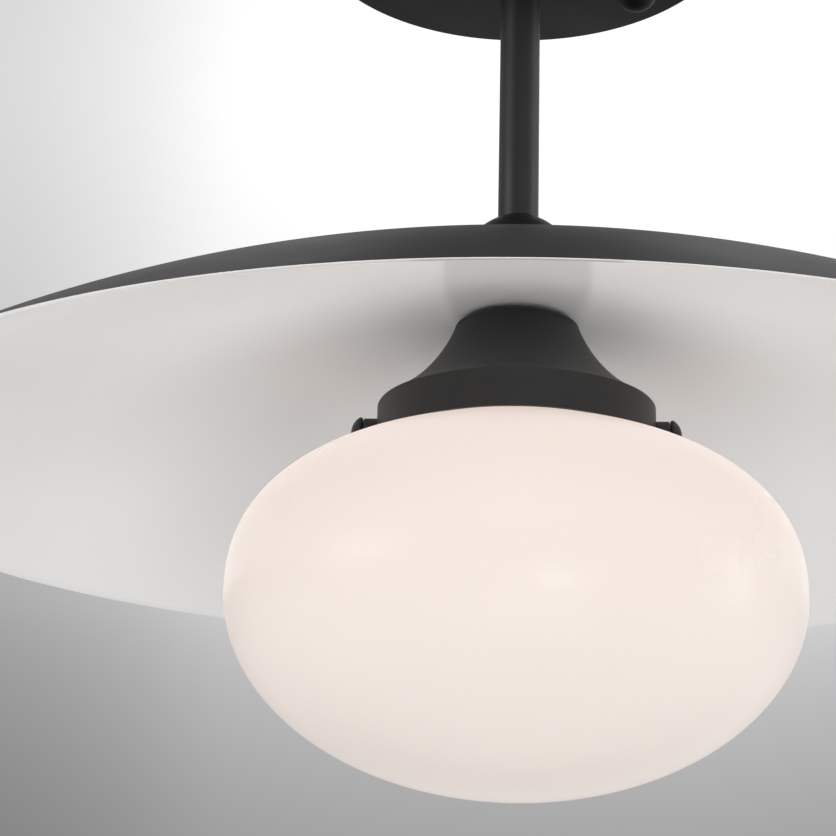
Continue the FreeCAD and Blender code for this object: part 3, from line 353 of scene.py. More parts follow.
# %% [markdown]
# ## White enamel
# The shade's inside is a smooth stove enamel, which throws the light back. It is glossy, so it
# mirrors the black bell above the glass, but so faintly that the white wins. A rough surface would
# smear that picture and a strong mirror would grey the white. So the skin is nearly sharp, and its
# mirror is weak. Colour and gloss drift slightly, under a very fine grain.

# %% White enamel
white, white_shader = new_finish("white_paint", (0.82, 0.817, 0.81), 0.07)
drift_colour(white, noise(white, 9.0), (0.812, 0.808, 0.80), (0.828, 0.825, 0.818))
drift_gloss(white, noise(white, 12.0), 0.05, 0.09)
bump(white, noise(white, 700.0, 2.0), 0.00004, 0.1)
white_shader.inputs["Specular IOR Level"].default_value = 0.16
print("white enamel", FINISHES["white_paint"].name)

# %% [markdown]
# ## Opal glass
# Opal glass is white all through, with a polished skin. Light enters it a few millimetres and
# comes out softened, which rounds the shading and takes the edge off every shadow. Transmission
# would be slow and would show the lamp. Subsurface scattering under a clear, slightly wavy skin
# gives the milky depth of blown opal.
#
# The globe also stays bright right up to the dark holder, as if its lamp were dimmed low. A lamp
# object inside would need clear glass to shine through. It is simpler to let the glass itself glow,
# softly and warmly, a little more towards the neck where the lamp is near. Its own colour is then
# written darker, so that glow and reflected light together stay under white.

# %% Opal glass
opal, opal_shader = new_finish("opal_glass", (0.50, 0.472, 0.444), 0.26)
drift_colour(opal, noise(opal, 7.0, 3.0), (0.495, 0.467, 0.439), (0.507, 0.478, 0.450))
drift_gloss(opal, noise(opal, 9.0), 0.23, 0.29)
bump(opal, noise(opal, 16.0, 1.0), 0.0012, 0.06)
opal_shader.inputs["Specular IOR Level"].default_value = 0.28
opal_shader.inputs["Subsurface Weight"].default_value = 0.35
opal_shader.inputs["Subsurface Radius"].default_value = (1.0, 0.8, 0.65)
opal_shader.inputs["Subsurface Scale"].default_value = 0.006
print("opal glass", FINISHES["opal_glass"].name)

# %% The glow of the lamp in the glass
GLOW_LOW, GLOW_HIGH = 0.285, 0.56
opal_tree = opal.node_tree
level = opal_tree.nodes.new("ShaderNodeSeparateXYZ")
opal_tree.links.new(opal_tree.nodes["place"].outputs["Object"], level.inputs["Vector"])
glow = opal_tree.nodes.new("ShaderNodeMapRange")
glow.inputs["From Min"].default_value = GLOBE_LOW.z
glow.inputs["From Max"].default_value = GLOBE_HIGH.z
glow.inputs["To Min"].default_value = GLOW_LOW
glow.inputs["To Max"].default_value = GLOW_HIGH
opal_tree.links.new(level.outputs["Z"], glow.inputs["Value"])
opal_tree.links.new(glow.outputs["Result"], opal_shader.inputs["Emission Strength"])
opal_shader.inputs["Emission Color"].default_value = (1.0, 0.85, 0.78, 1.0)
print("glow from", GLOW_LOW, "to", GLOW_HIGH)

# %% [markdown]
# ## Metals, porcelain and the lamp's own materials
# The fixings are hidden once the light is up, but they are seen from above and with the parts
# drawn apart. Each gets the finish it has in a hardware drawer: zinc plate with a faint spangle, a
# green dyed ground screw, drawn aluminium, nickel, brass, glazed porcelain, black glass and solder.

# %% Plated and bare metals
zinc, _ = new_finish("zinc_steel", (0.60, 0.60, 0.585), 0.36, 1.0)
drift_colour(zinc, noise(zinc, 420.0), (0.54, 0.54, 0.52), (0.66, 0.66, 0.65))
drift_gloss(zinc, noise(zinc, 160.0), 0.28, 0.46)
bump(zinc, noise(zinc, 1600.0), 0.00005, 0.3)
green, _ = new_finish("green_screw", (0.045, 0.26, 0.09), 0.38, 0.7)
drift_colour(green, noise(green, 500.0), (0.035, 0.22, 0.075), (0.06, 0.31, 0.11))
drift_gloss(green, noise(green, 300.0), 0.32, 0.45)
drawn, _ = new_finish("socket_metal", (0.66, 0.65, 0.62), 0.32, 1.0)
drift_colour(drawn, noise(drawn, 200.0), (0.62, 0.61, 0.58), (0.70, 0.69, 0.66))
drift_gloss(drawn, noise(drawn, 90.0, 4.0, (1, 1, 14)), 0.25, 0.42)
bump(drawn, noise(drawn, 300.0, 3.0, (1, 1, 12)), 0.00004, 0.3)
nickel, _ = new_finish("nickel_shell", (0.70, 0.68, 0.63), 0.2, 1.0)
drift_colour(nickel, noise(nickel, 150.0), (0.66, 0.64, 0.59), (0.73, 0.71, 0.66))
drift_gloss(nickel, noise(nickel, 220.0), 0.14, 0.28)
brass, _ = new_finish("brass", (0.70, 0.52, 0.24), 0.3, 1.0)
drift_colour(brass, noise(brass, 260.0), (0.62, 0.45, 0.20), (0.74, 0.56, 0.27))
drift_gloss(brass, noise(brass, 180.0), 0.22, 0.4)
solder, _ = new_finish("solder", (0.58, 0.58, 0.57), 0.4, 1.0)
drift_gloss(solder, noise(solder, 500.0), 0.25, 0.5)
bump(solder, noise(solder, 700.0), 0.0001, 0.4)
print("finishes so far:", ", ".join(FINISHES))

# %% Porcelain, black glass, frosted glass and the floor's paper
porcelain, _ = new_finish("porcelain", (0.86, 0.85, 0.81), 0.16)
drift_colour(porcelain, noise(porcelain, 70.0), (0.84, 0.83, 0.785), (0.875, 0.865, 0.83))
drift_gloss(porcelain, noise(porcelain, 60.0), 0.1, 0.24)
bump(porcelain, noise(porcelain, 120.0), 0.0002, 0.08)
insulator, _ = new_finish("lamp_insulator", (0.03, 0.03, 0.035), 0.12)
drift_gloss(insulator, noise(insulator, 300.0), 0.08, 0.2)
bump(insulator, noise(insulator, 200.0), 0.0001, 0.1)
frosted, frosted_shader = new_finish("frosted_glass", (0.92, 0.92, 0.90), 0.42)
drift_gloss(frosted, noise(frosted, 90.0), 0.36, 0.5)
bump(frosted, noise(frosted, 2200.0, 2.0), 0.00004, 0.3)
frosted_shader.inputs["Subsurface Weight"].default_value = 0.4
frosted_shader.inputs["Subsurface Scale"].default_value = 0.002
paper, _ = new_finish("floor_paper", (0.80, 0.80, 0.80), 0.75)
drift_colour(paper, noise(paper, 1.3), (0.785, 0.785, 0.785), (0.81, 0.81, 0.81))
bump(paper, noise(paper, 240.0), 0.0004, 0.2)
floor_mesh.materials.append(paper)
print("finishes", len(FINISHES))

# %% [markdown]
# ## A lathe in code
# A turned part is a closed line, half its section, swept round the axis. Blender's Screw modifier
# can do it, and so can a curve with a bevel. Writing the rings by hand keeps the poles clean and
# the facets even, so the gloss runs without a seam. Corners get a small arc, because no sheet or
# glass edge is truly sharp and the little arcs catch the light.

# %% A helper for sections: arcs and softened corners
def arc(out, up, radius, start, end, steps):
    """Points on an arc of the section; the angles are degrees from straight out."""
    points = []
    for step in range(steps + 1):
        angle = math.radians(start + (end - start) * step / steps)
        points.append((out + radius * math.cos(angle), up + radius * math.sin(angle)))
    return points


def soften(corners):
    """Closed section with a fillet at each corner; corners are (out, up, radius)."""
    points, steps = [], 6
    for index, (out, up, radius) in enumerate(corners):
        here = Vector((out, up))
        if not radius:
            points.append((out, up))
            continue
        before = (Vector(corners[index - 1][:2]) - here).normalized()
        after = (Vector(corners[(index + 1) % len(corners)][:2]) - here).normalized()
        half = before.angle(after) / 2
        reach = radius / math.tan(half)
        middle = here + (before + after).normalized() * (radius / math.sin(half))
        first, last = here + before * reach - middle, here + after * reach - middle
        sweep = first.angle_signed(last)
        for step in range(steps + 1):
            turn = Matrix.Rotation(-sweep * step / steps, 2)
            points.append(tuple(middle + turn @ first))
    return points


print("a quarter arc in 6 steps has", len(arc(0, 0, MM, 0, 90, 6)), "points")

# %% The lathe itself
ROUND = 256


def piece_from(name, mesh, finish, sharp=35.0):
    """Puts a finished mesh in the scene, smooth except over sharp edges."""
    mesh.shade_smooth()
    mesh.set_sharp_from_angle(angle=math.radians(sharp))
    mesh.materials.append(finish)
    piece = bpy.data.objects.new(name, mesh)
    bpy.context.scene.collection.objects.link(piece)
    return piece


def turned(name, section, finish, around=ROUND, sharp=35.0):
    """Sweeps a section, in metres, round the upright axis."""
    shape = bmesh.new()
    rings = []
    for out, up in section:
        if out < 1e-7:
            rings.append([shape.verts.new((0, 0, up))])
            continue
        rings.append([shape.verts.new((out * math.cos(2 * math.pi * k / around),
                                       out * math.sin(2 * math.pi * k / around), up))
                      for k in range(around)])
    for ring, after in zip(rings, rings[1:] + rings[:1]):
        for k in range(around):
            j = (k + 1) % around
            corners = [ring[k % len(ring)], ring[j % len(ring)],
                       after[j % len(after)], after[k % len(after)]]
            face = list(dict.fromkeys(corners))
            if len(face) > 2:
                shape.faces.new(face)
    bmesh.ops.recalc_face_normals(shape, faces=shape.faces)
    mesh = bpy.data.meshes.new(name)
    shape.to_mesh(mesh)
    shape.free()
    return piece_from(name, mesh, finish, sharp)


print("lathe ready,", ROUND, "steps round")

# %% [markdown]
# Some holes don't lie on the axis, such as those for the canopy screws and the thumbscrews. They
# are drilled afterwards with a Boolean modifier that is applied at once, so the piece that is
# kept is plain mesh. Other pieces are moved or laid on their side, and that goes into their mesh.

# %% Helpers to drill, to move and to mount
def cut_away(piece, cutter, sharp=35.0):
    """Takes the cutter's shape out of the piece and deletes the cutter."""
    knife = piece.modifiers.new("cut", "BOOLEAN")
    knife.operation = "DIFFERENCE"
    knife.solver = "EXACT"
    knife.object = cutter
    bpy.context.view_layer.update()
    solid = piece.evaluated_get(bpy.context.evaluated_depsgraph_get())
    cut = bpy.data.meshes.new_from_object(solid)
    old = piece.data
    piece.modifiers.clear()
    piece.data = cut
    bpy.data.meshes.remove(old)
    bpy.data.objects.remove(cutter)
    cut.set_sharp_from_angle(angle=math.radians(sharp))


def rod(radius, low, high):
    """A plain round cutter along the upright axis."""
    return turned("cutter", [(0, low), (radius, low), (radius, high), (0, high)], black, 64)


def shift(piece, matrix):
    """Moves a piece's mesh, so that its object stays at the origin."""
    piece.data.transform(matrix)
    return piece


def mount(piece, body, node):
    """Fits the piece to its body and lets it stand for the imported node."""
    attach(piece, body)
    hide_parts(node)
    size = [round(v * 1000, 1) for v in piece.dimensions]
    print(piece.name, size, "mm,", len(piece.data.polygons), "faces")


print("ready to drill, to move and to mount")

# %% [markdown]
# ## Canopy
# The canopy is a shallow pan, pressed from thin sheet, that hides the outlet box. Its foot edge is
# rolled over a small radius and its rim is left as cut. From under the light, its flat underside
# and far edge are all that shows. It is turned as one closed section, then the two holes for the
# canopy screws are drilled.

# %% Canopy pan
PIPE_HOLE, TAPPED_HOLE, SCREW_HOLE = 4.85 * MM, 2.14 * MM, 2.53 * MM
EASE, WIDE_EASE = 0.2 * MM, 0.25 * MM
PAN_WALL, PAN_ROUND, SCREW_OUT = 0.9 * MM, 1.8 * MM, 44.45 * MM
low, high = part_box("canopy")
pan_out = high.x
canopy = turned("canopy_pan", soften([
    (PIPE_HOLE, low.z, 0), (pan_out, low.z, PAN_ROUND), (pan_out, high.z, WIDE_EASE),
    (pan_out - PAN_WALL, high.z, WIDE_EASE),
    (pan_out - PAN_WALL, low.z + PAN_WALL, PAN_ROUND - PAN_WALL),
    (PIPE_HOLE, low.z + PAN_WALL, 0)]), black)
for side in (-1, 1):
    drill = rod(SCREW_HOLE, low.z - 10 * MM, low.z + 10 * MM)
    cut_away(canopy, shift(drill, Matrix.Translation((side * SCREW_OUT, 0, 0))))
mount(canopy, "light", "canopy")

# %% [markdown]
# ## Ball nuts
# Two round nuts screw up on the canopy screws and hold the pan. Each is a ball turned from brass
# and painted, flat where it meets the pan, with a blind hole up its middle.

# %% Ball nuts
NUT_BORE, NUT_BORE_TIP = 10.2 * MM, 11.0 * MM
for side, word in ((-1, "left"), (1, "right")):
    low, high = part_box("ball_nut_" + word)
    ball_r = (high.x - low.x) / 2
    ball_z = low.z + ball_r
    top_out = math.sqrt(ball_r ** 2 - (high.z - ball_z) ** 2)
    top_angle = math.degrees(math.asin((high.z - ball_z) / ball_r))
    skin = arc(0, ball_z, ball_r, -90, top_angle - 2, 48)
    section = [(0, ball_z - ball_r)] + skin[1:] + [
        (top_out - WIDE_EASE, high.z), (TAPPED_HOLE + EASE, high.z),
        (TAPPED_HOLE, high.z - EASE), (TAPPED_HOLE, high.z - NUT_BORE),
        (0, high.z - NUT_BORE_TIP)]
    nut = turned("ball_nut_" + word + "_ball", section, black, 96)
    shift(nut, Matrix.Translation((side * SCREW_OUT, 0, 0)))
    mount(nut, "ball_nut_" + word, "ball_nut_" + word)

# %% [markdown]
# ## Stem
# The stem is a length of half inch tube between the canopy and the cap. Both ends are cut square
# and eased, so a fine line shows where it meets its neighbours.

# %% Stem
STEM_EASE = 0.3 * MM
low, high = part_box("stem")
stem_out = high.x
stem = turned("stem_tube", soften([
    (PIPE_HOLE, low.z, 0), (stem_out, low.z, STEM_EASE), (stem_out, high.z, STEM_EASE),
    (PIPE_HOLE, high.z, 0)]), black, 160)
mount(stem, "light", "stem")

# %% [markdown]
# ## Domed cap
# At its foot the stem stands on a small domed cup, which spreads the load on the shade's crown.
# The cup is spun from sheet: a flat where the stem seats, a dome with the cup's own radius, and a
# straight side down to the shade.

# %% Domed cap
low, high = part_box("stem_cap")
cap_out, cap_wall = high.x, 1.2 * MM
cap_spring = high.z - math.sqrt(cap_out ** 2 - stem_out ** 2)
seat_angle = math.degrees(math.acos(stem_out / cap_out))
inner_r = cap_out - cap_wall
inner_angle = math.degrees(math.asin(min(1.0, (high.z - cap_wall - cap_spring) / inner_r)))
cap_section = [(PIPE_HOLE, high.z), (stem_out, high.z)]
cap_section += arc(0, cap_spring, cap_out, seat_angle, 0, 40)[1:]
cap_section += [(cap_out, low.z + EASE), (cap_out - EASE, low.z), (inner_r, low.z)]
cap_section += arc(0, cap_spring, inner_r, 0, inner_angle, 40)
cap_section += [(PIPE_HOLE, high.z - cap_wall)]
cap = turned("stem_cap_dome", cap_section, black, 192)
mount(cap, "light", "stem_cap")

# %% [markdown]
# ## Shade
# The shade is a wide shallow dome, spun from sheet over a wooden former: part of a large ball. It
# is painted black outside and over the rim, and lined with white enamel. One mesh with two
# materials could hold both, but two skins keep each paint's own finish, and the line between them
# stays crisp at the rim. The black skin is the sheet itself. The white lining lies on its inside
# and comes out over the edge, which is bevelled, so that from below only a fine pale line shows
# round the rim.

# %% The shade's two balls
low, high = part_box("shade")
rim_out = high.x
shade_wall, lining_wall = 1.2 * MM, 0.08 * MM
shade_deep = high.z - low.z
shade_ball = (rim_out ** 2 + shade_deep ** 2) / (2 * shade_deep)
shade_middle = high.z - shade_ball


def dome_line(radius, foot_up):
    """Points over the dome from its foot level in to the centre hole."""
    start = math.degrees(math.asin((foot_up - shade_middle) / radius))
    end = math.degrees(math.acos(PIPE_HOLE / radius))
    return arc(0, shade_middle, radius, start, end, 140)


print("shade ball", round(shade_ball * 1000, 1), "mm, middle at", round(shade_middle * 1000, 1))

# %% Black outside
inside = shade_ball - shade_wall
back = inside + lining_wall
BEVEL, BACK_UP, BLACK_UP, WHITE_UP = 0.62 * MM, 0.72 * MM, 0.09 * MM, 0.07 * MM
outer_line = dome_line(shade_ball, low.z + BLACK_UP)
inner_line = dome_line(back, low.z + BACK_UP)
shade = turned("shade_black", outer_line + inner_line[::-1], black, 384)
mount(shade, "light", "shade")

# %% White lining, brought out over the bevelled edge
face_line = dome_line(inside, low.z + BEVEL)
edge_out = outer_line[0][0]
edge_line = [(edge_out, low.z + WHITE_UP), (edge_out - 0.04 * MM, low.z)]
lining = turned("shade_lining", edge_line + face_line + inner_line[::-1], white, 384)
mount(lining, "light", "shade")

# %% [markdown]
# ## Bell holder
# Under the shade hangs the fitter: a spun bell with a small flat top, a hollow trumpet curve that
# flares out to a sharp shoulder, and a short straight skirt that takes the neck of the glass. Two
# bosses on the skirt are tapped for the thumbscrews. The bell is turned, drilled through for the
# screws, and the bosses are short tubes laid along the same line.

# %% The bell's section
low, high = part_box("glass_holder")
bell_top = high.z
thumb_low, thumb_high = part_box("thumbscrew_right")
skirt_out, skirt_tall, bell_wall = 42.2 * MM, 11.4 * MM, 1.5 * MM
curve_r, curve_out, curve_up = 48.7 * MM, 64.5 * MM, bell_top + 16.2 * MM
shoulder_up = curve_up - math.sqrt(curve_r ** 2 - (curve_out - skirt_out) ** 2)
foot_up = shoulder_up - skirt_tall


def flare(radius, from_up, to_out, steps):
    """The trumpet curve, from an upper level out to a radius."""
    start = math.degrees(math.asin((from_up - curve_up) / radius))
    end = -math.degrees(math.acos((to_out - curve_out) / radius))
    return arc(curve_out, curve_up, radius, -180 - start, end, steps)


top_out = curve_out - math.sqrt(curve_r ** 2 - (bell_top - curve_up) ** 2)
print("bell: top", round(top_out * 1000, 1), "shoulder", round(shoulder_up * 1000, 1),
      "foot", round(foot_up * 1000, 1))

# %% The bell
ROUND_TOP = 1.6 * MM
side_out = curve_out - math.sqrt(curve_r ** 2 - (bell_top - ROUND_TOP - curve_up) ** 2)
bell_section = [(PIPE_HOLE, bell_top), (side_out - ROUND_TOP, bell_top)]
bell_section += arc(side_out - ROUND_TOP, bell_top - ROUND_TOP, ROUND_TOP, 85, 10, 8)
bell_section += flare(curve_r, bell_top - ROUND_TOP - 0.3 * MM, skirt_out - WIDE_EASE, 48)
bell_section += [(skirt_out, shoulder_up - EASE), (skirt_out, foot_up + WIDE_EASE),
                 (skirt_out - EASE, foot_up), (skirt_out - bell_wall + EASE, foot_up),
                 (skirt_out - bell_wall, foot_up + EASE)]
inner_flare = flare(curve_r + bell_wall, bell_top - 2.4 * MM, skirt_out - bell_wall, 40)
bell_section += inner_flare[::-1]
bell_section += [(inner_flare[0][0] - 0.7 * MM, bell_top - bell_wall),
                 (PIPE_HOLE, bell_top - bell_wall)]
bell = turned("glass_holder_bell", bell_section, black, ROUND)
THUMB_UP = (thumb_low.z + thumb_high.z) / 2


def lay_across(piece, side):
    """Lays an upright piece along the thumbscrews' line, out to one side of it in degrees."""
    screw_line = Matrix.Rotation(math.radians(CLOCKING), 4, "Z")
    across = Matrix.Rotation(math.radians(side), 4, "Z")
    along_x = Matrix.Rotation(math.radians(90), 4, "Y")
    return shift(piece, Matrix.Translation((0, 0, THUMB_UP)) @ screw_line @ across @ along_x)


DRILL_IN, DRILL_OUT = 36 * MM, 44 * MM
for side in (0, 180):
    cut_away(bell, lay_across(rod(TAPPED_HOLE, DRILL_IN, DRILL_OUT), side))
mount(bell, "light", "glass_holder")

# %% The bosses on its skirt
BOSS_OUT, BOSS_END, BOSS_R = 41.2 * MM, 46.2 * MM, 4.4 * MM
for side, word in ((180, "left"), (0, "right")):
    boss = turned("holder_boss_" + word, soften([
        (TAPPED_HOLE, BOSS_OUT, 0), (BOSS_R, BOSS_OUT, 0), (BOSS_R, BOSS_END, 0.3 * MM),
        (TAPPED_HOLE, BOSS_END, 0.15 * MM)]), black, 96)
    lay_across(boss, side)
    mount(boss, "light", "glass_holder")

# %% [markdown]
# ## Threads
# Threads are what tells a screw from a pin. A real thread is one long helix, and cutting it with a
# Boolean is slow. It is quicker to let the radius of a fine grid rise and fall with height and
# angle, which draws the same helix. Both ends fade to the core, as a cut thread runs out.

# %% A threaded rod
def thread_wave(turns):
    """Height of a sharp thread with a small flat, from 0 at the root to 1 at the crest."""
    phase = turns % 1.0
    wave = 1.0 - abs(2.0 * phase - 1.0)
    return min(1.0, max(0.0, (wave - 0.08) / 0.8))


def threaded(core, crest, pitch, foot, top, around=36):
    """Rings of a helical thread between two levels, each a list of (out, up) points."""
    rings_per_turn = 8
    count = max(2, int(round((top - foot) / pitch * rings_per_turn)))
    rings = []
    for row in range(count + 1):
        up = foot + (top - foot) * row / count
        fade = max(0.0, min(1.0, (up - foot) / pitch, (top - up) / pitch))
        rings.append([(core + (crest - core) * fade * thread_wave(up / pitch - k / around), up)
                      for k in range(around)])
    return rings


def skin_rings(name, rings, finish, caps=True, sharp=60.0):
    """Skins rings of (out, up) points into a closed piece; caps close its two ends."""
    shape = bmesh.new()
    around = len(rings[0])
    rows = [[shape.verts.new((out * math.cos(2 * math.pi * k / around),
                              out * math.sin(2 * math.pi * k / around), up))
             for k, (out, up) in enumerate(ring)] for ring in rings]
    pairs = list(zip(rows, rows[1:])) if caps else list(zip(rows, rows[1:] + rows[:1]))
    for row, after in pairs:
        for k in range(around):
            j = (k + 1) % around
            shape.faces.new([row[k], row[j], after[j], after[k]])
    if caps:
        shape.faces.new(rows[0])
        shape.faces.new(rows[-1])
    bmesh.ops.recalc_face_normals(shape, faces=shape.faces)
    mesh = bpy.data.meshes.new(name)
    shape.to_mesh(mesh)
    shape.free()
    return piece_from(name, mesh, finish, sharp)


def even_ring(out, up, around=36):
    """One plain ring of a rod, to go before or after threaded ones."""
    return [(out, up)] * around


THREAD_ROOT, THREAD_CREST, THREAD_PITCH = 1.68 * MM, 2.08 * MM, 0.794 * MM
print("small thread: pitch", round(THREAD_PITCH * 1000, 3), "mm")

# %% [markdown]
# ## Thumbscrews
# Each thumbscrew has a turned head with a domed end and a slim shank that ends in a blunt cone. Its
# head is held just off the boss. Only the head shows from outside, and the point under the lip of
# the glass shows from below.

# %% Thumbscrews
TIP, TIP_R, POINT, NECK_IN = 37.4 * MM, 1.0 * MM, 1.1 * MM, 46.3 * MM
HEAD_IN, HEAD_OUT, HEAD_R, HEAD_RIM = 46.55 * MM, 50.05 * MM, 4.7 * MM, 0.9 * MM
dome_deep = HEAD_OUT - HEAD_IN - HEAD_RIM
dome_r = (HEAD_R ** 2 + dome_deep ** 2) / (2 * dome_deep)
thumb_rings = [even_ring(TIP_R, TIP), even_ring(1.7 * MM, TIP + POINT)]
thumb_rings += threaded(THREAD_ROOT, THREAD_CREST, THREAD_PITCH, TIP + POINT + 0.1 * MM,
                        NECK_IN - 0.7 * MM)
thumb_rings += [even_ring(THREAD_ROOT, NECK_IN), even_ring(THREAD_ROOT, HEAD_IN),
                even_ring(HEAD_R - 0.3 * MM, HEAD_IN), even_ring(HEAD_R, HEAD_IN + 0.3 * MM)]
for out, up in arc(0, HEAD_OUT - dome_r, dome_r,
                   math.degrees(math.acos(HEAD_R / dome_r)), 88, 14):
    thumb_rings.append(even_ring(out, up))
for side, word in ((180, "left"), (0, "right")):
    thumb = lay_across(skin_rings("thumbscrew_" + word + "_screw", thumb_rings, black), side)
    mount(thumb, "thumbscrew_" + word, "thumbscrew_" + word)

# %% [markdown]
# ## Opal globe
# The glass was blown into a mould: a wide flattened oval with a neck on top and a lip that rests
# on the thumbscrews' points. The lower half is a plain oval. The upper half is squarer, so it is
# drawn as an oval with a higher power. A small hollow curve leads into the neck. The wall is even,
# so the inside is the same line drawn a wall's thickness smaller.

# %% The globe's outline
low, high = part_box("glass_globe")
globe_r, globe_base, globe_rise, squareness = high.x, 58.25 * MM, 51.1 * MM, 2.33
globe_up = low.z + globe_base
WAIST, HOLLOW, GLASS = 36.2 * MM, 4.6 * MM, 2.8 * MM


def oval_point(radius, rise, power, angle):
    """One point of an oval of any squareness, measured from its middle."""
    return (radius * max(0.0, math.cos(angle)) ** (2 / power),
            math.copysign(abs(rise) * abs(math.sin(angle)) ** (2 / power), rise))


def glass_line(inset):
    """The glass from its lowest point up to the neck, drawn smaller by an inset."""
    line = []
    for step in range(97):
        angle = math.pi / 2 * (1 - step / 96)
        out, up = oval_point(globe_r - inset, -(globe_base - inset), 2.0, angle)
        line.append((out, globe_up + up))
    waist, hollow = WAIST - inset, HOLLOW + inset
    upper = [oval_point(globe_r - inset, globe_rise - inset, squareness, math.pi / 2 * s / 400)
             for s in range(1, 400)]
    for index in range(1, len(upper)):
        (out_before, up_before), (out, up) = upper[index - 1], upper[index]
        lean = Vector((out - out_before, up - up_before)).normalized()
        outward = Vector((lean.y, -lean.x))
        if out + outward.x * hollow <= waist + hollow:
            break
    centre = Vector((out, up)) + outward * hollow
    start = math.degrees(math.atan2(-outward.y, -outward.x)) % 360
    turn = arc(waist + hollow, globe_up + centre.y, hollow, start, 180, 12)
    return line + [(o, globe_up + u) for o, u in upper[:index:3]] + turn


outside_line, inside_line = glass_line(0.0), glass_line(GLASS)
print("globe outline", len(outside_line), "points, neck starts at",
      round(outside_line[-1][1] * 1000, 1))

# %% The globe
LIP, LIP_TALL = 39.6 * MM, 3.2 * MM
lip_foot, lip_top = high.z - LIP_TALL, high.z
neck = [(WAIST, lip_foot - 0.3 * MM), (WAIST + 0.3 * MM, lip_foot), (LIP - 0.5 * MM, lip_foot),
        (LIP, lip_foot + 0.5 * MM), (LIP, lip_top - 0.9 * MM), (LIP - 0.3 * MM, lip_top - 0.3 * MM),
        (LIP - 0.9 * MM, lip_top), (WAIST - GLASS + 0.4 * MM, lip_top),
        (WAIST - GLASS, lip_top - 0.4 * MM)]
globe = turned("opal_globe", outside_line + neck + inside_line[::-1], opal, 320, 40.0)
mount(globe, "light", "glass_globe")

# %% [markdown]
# ## Fixings at the canopy
# Above the pan sit the hidden fixings: the two canopy screws that hang from the crossbar, and the
# threaded nipple that ties the stem to the pan. A pan head is a low dome with a driver's slot,
# which is cut with a thin block.

# %% A pan head and its slot
def box_cutter(width, depth, height, middle):
    """A plain block, used only to cut."""
    shape = bmesh.new()
    bmesh.ops.create_cube(shape, size=1.0)
    bmesh.ops.scale(shape, vec=(width, depth, height), verts=shape.verts)
    bmesh.ops.translate(shape, vec=middle, verts=shape.verts)
    mesh = bpy.data.meshes.new("block")
    shape.to_mesh(mesh)
    shape.free()
    block = bpy.data.objects.new("block", mesh)
    bpy.context.scene.collection.objects.link(block)
    return block


def machine_screw(name, finish, tip, under, top):
    """A pan head machine screw along the axis; its head lies between under and top."""
    head_r, ease = 3.6 * MM, 1.1 * MM
    step = 1 if top > under else -1
    rings = [even_ring(1.5 * MM, tip), even_ring(THREAD_ROOT, tip + step * 0.25 * MM)]
    first, last = sorted((tip + step * 0.3 * MM, under - step * 0.3 * MM))
    thread = threaded(THREAD_ROOT, THREAD_CREST, THREAD_PITCH, first, last)
    rings += thread if step > 0 else thread[::-1]
    rings += [even_ring(THREAD_ROOT, under), even_ring(head_r - 0.15 * MM, under),
              even_ring(head_r, under + step * 0.15 * MM), even_ring(head_r, top - step * ease)]
    for out, up in arc(head_r - ease, 0, ease, 15, 90, 5):
        rings.append(even_ring(out, top - step * ease + step * up))
    screw = skin_rings(name, rings, finish)
    slot_long, slot_wide, slot_cutter_tall = 12 * MM, 0.9 * MM, 1.5 * MM
    slot_middle = (0, 0, top - step * 0.25 * MM)
    cut_away(screw, box_cutter(slot_long, slot_wide, slot_cutter_tall, slot_middle), 60.0)
    return screw


print("a pan head is ready to be turned and slotted")

# %% Canopy screws and ground screw
HEAD_TALL = 2.2 * MM
for side, word in ((-1, "left"), (1, "right")):
    low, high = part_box("canopy_screw_" + word)
    screw = machine_screw("canopy_screw_" + word + "_thread", zinc,
                          low.z, high.z - HEAD_TALL, high.z)
    shift(screw, Matrix.Translation((side * SCREW_OUT, 0, 0)))
    mount(screw, "light", "canopy_screw_" + word)
low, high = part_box("ground_screw")
ground = machine_screw("ground_screw_thread", green, high.z, low.z + HEAD_TALL, low.z)
shift(ground, Matrix.Translation(((low.x + high.x) / 2, 0, 0)))
mount(ground, "light", "ground_screw")

# %% [markdown]
# ## Threaded nipples
# Two lengths of lamp pipe, threaded all along, tie the stack together and carry the leads. They
# are the same helix on a hollow core.

# %% Nipples
def pipe(name, node):
    """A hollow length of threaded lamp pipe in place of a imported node."""
    low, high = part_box(node)
    bore, core, crest, pitch, around = 3.3 * MM, 4.28 * MM, 4.8 * MM, 0.941 * MM, 48
    rings = [even_ring(bore, high.z, around), even_ring(bore, low.z, around),
             even_ring(core - 0.1 * MM, low.z, around)]
    rings += threaded(core, crest, pitch, low.z + 0.1 * MM, high.z - 0.1 * MM, around)
    rings += [even_ring(core - 0.1 * MM, high.z, around)]
    made = skin_rings(name, rings, zinc, caps=False)
    mount(made, "light", node)


pipe("canopy_nipple_pipe", "canopy_nipple")
pipe("shade_nipple_pipe", "shade_nipple")

# %% [markdown]
# ## Lamp and screw shell
# The lamp's base and the socket's shell share one rolled thread, a soft wave with seven turns to
# the inch. Both are thin sheet rolled between dies, so inside and outside follow the same wave.

# %% Rolled threads
ROLL, ROLL_ROUND = 3.63 * MM, 96


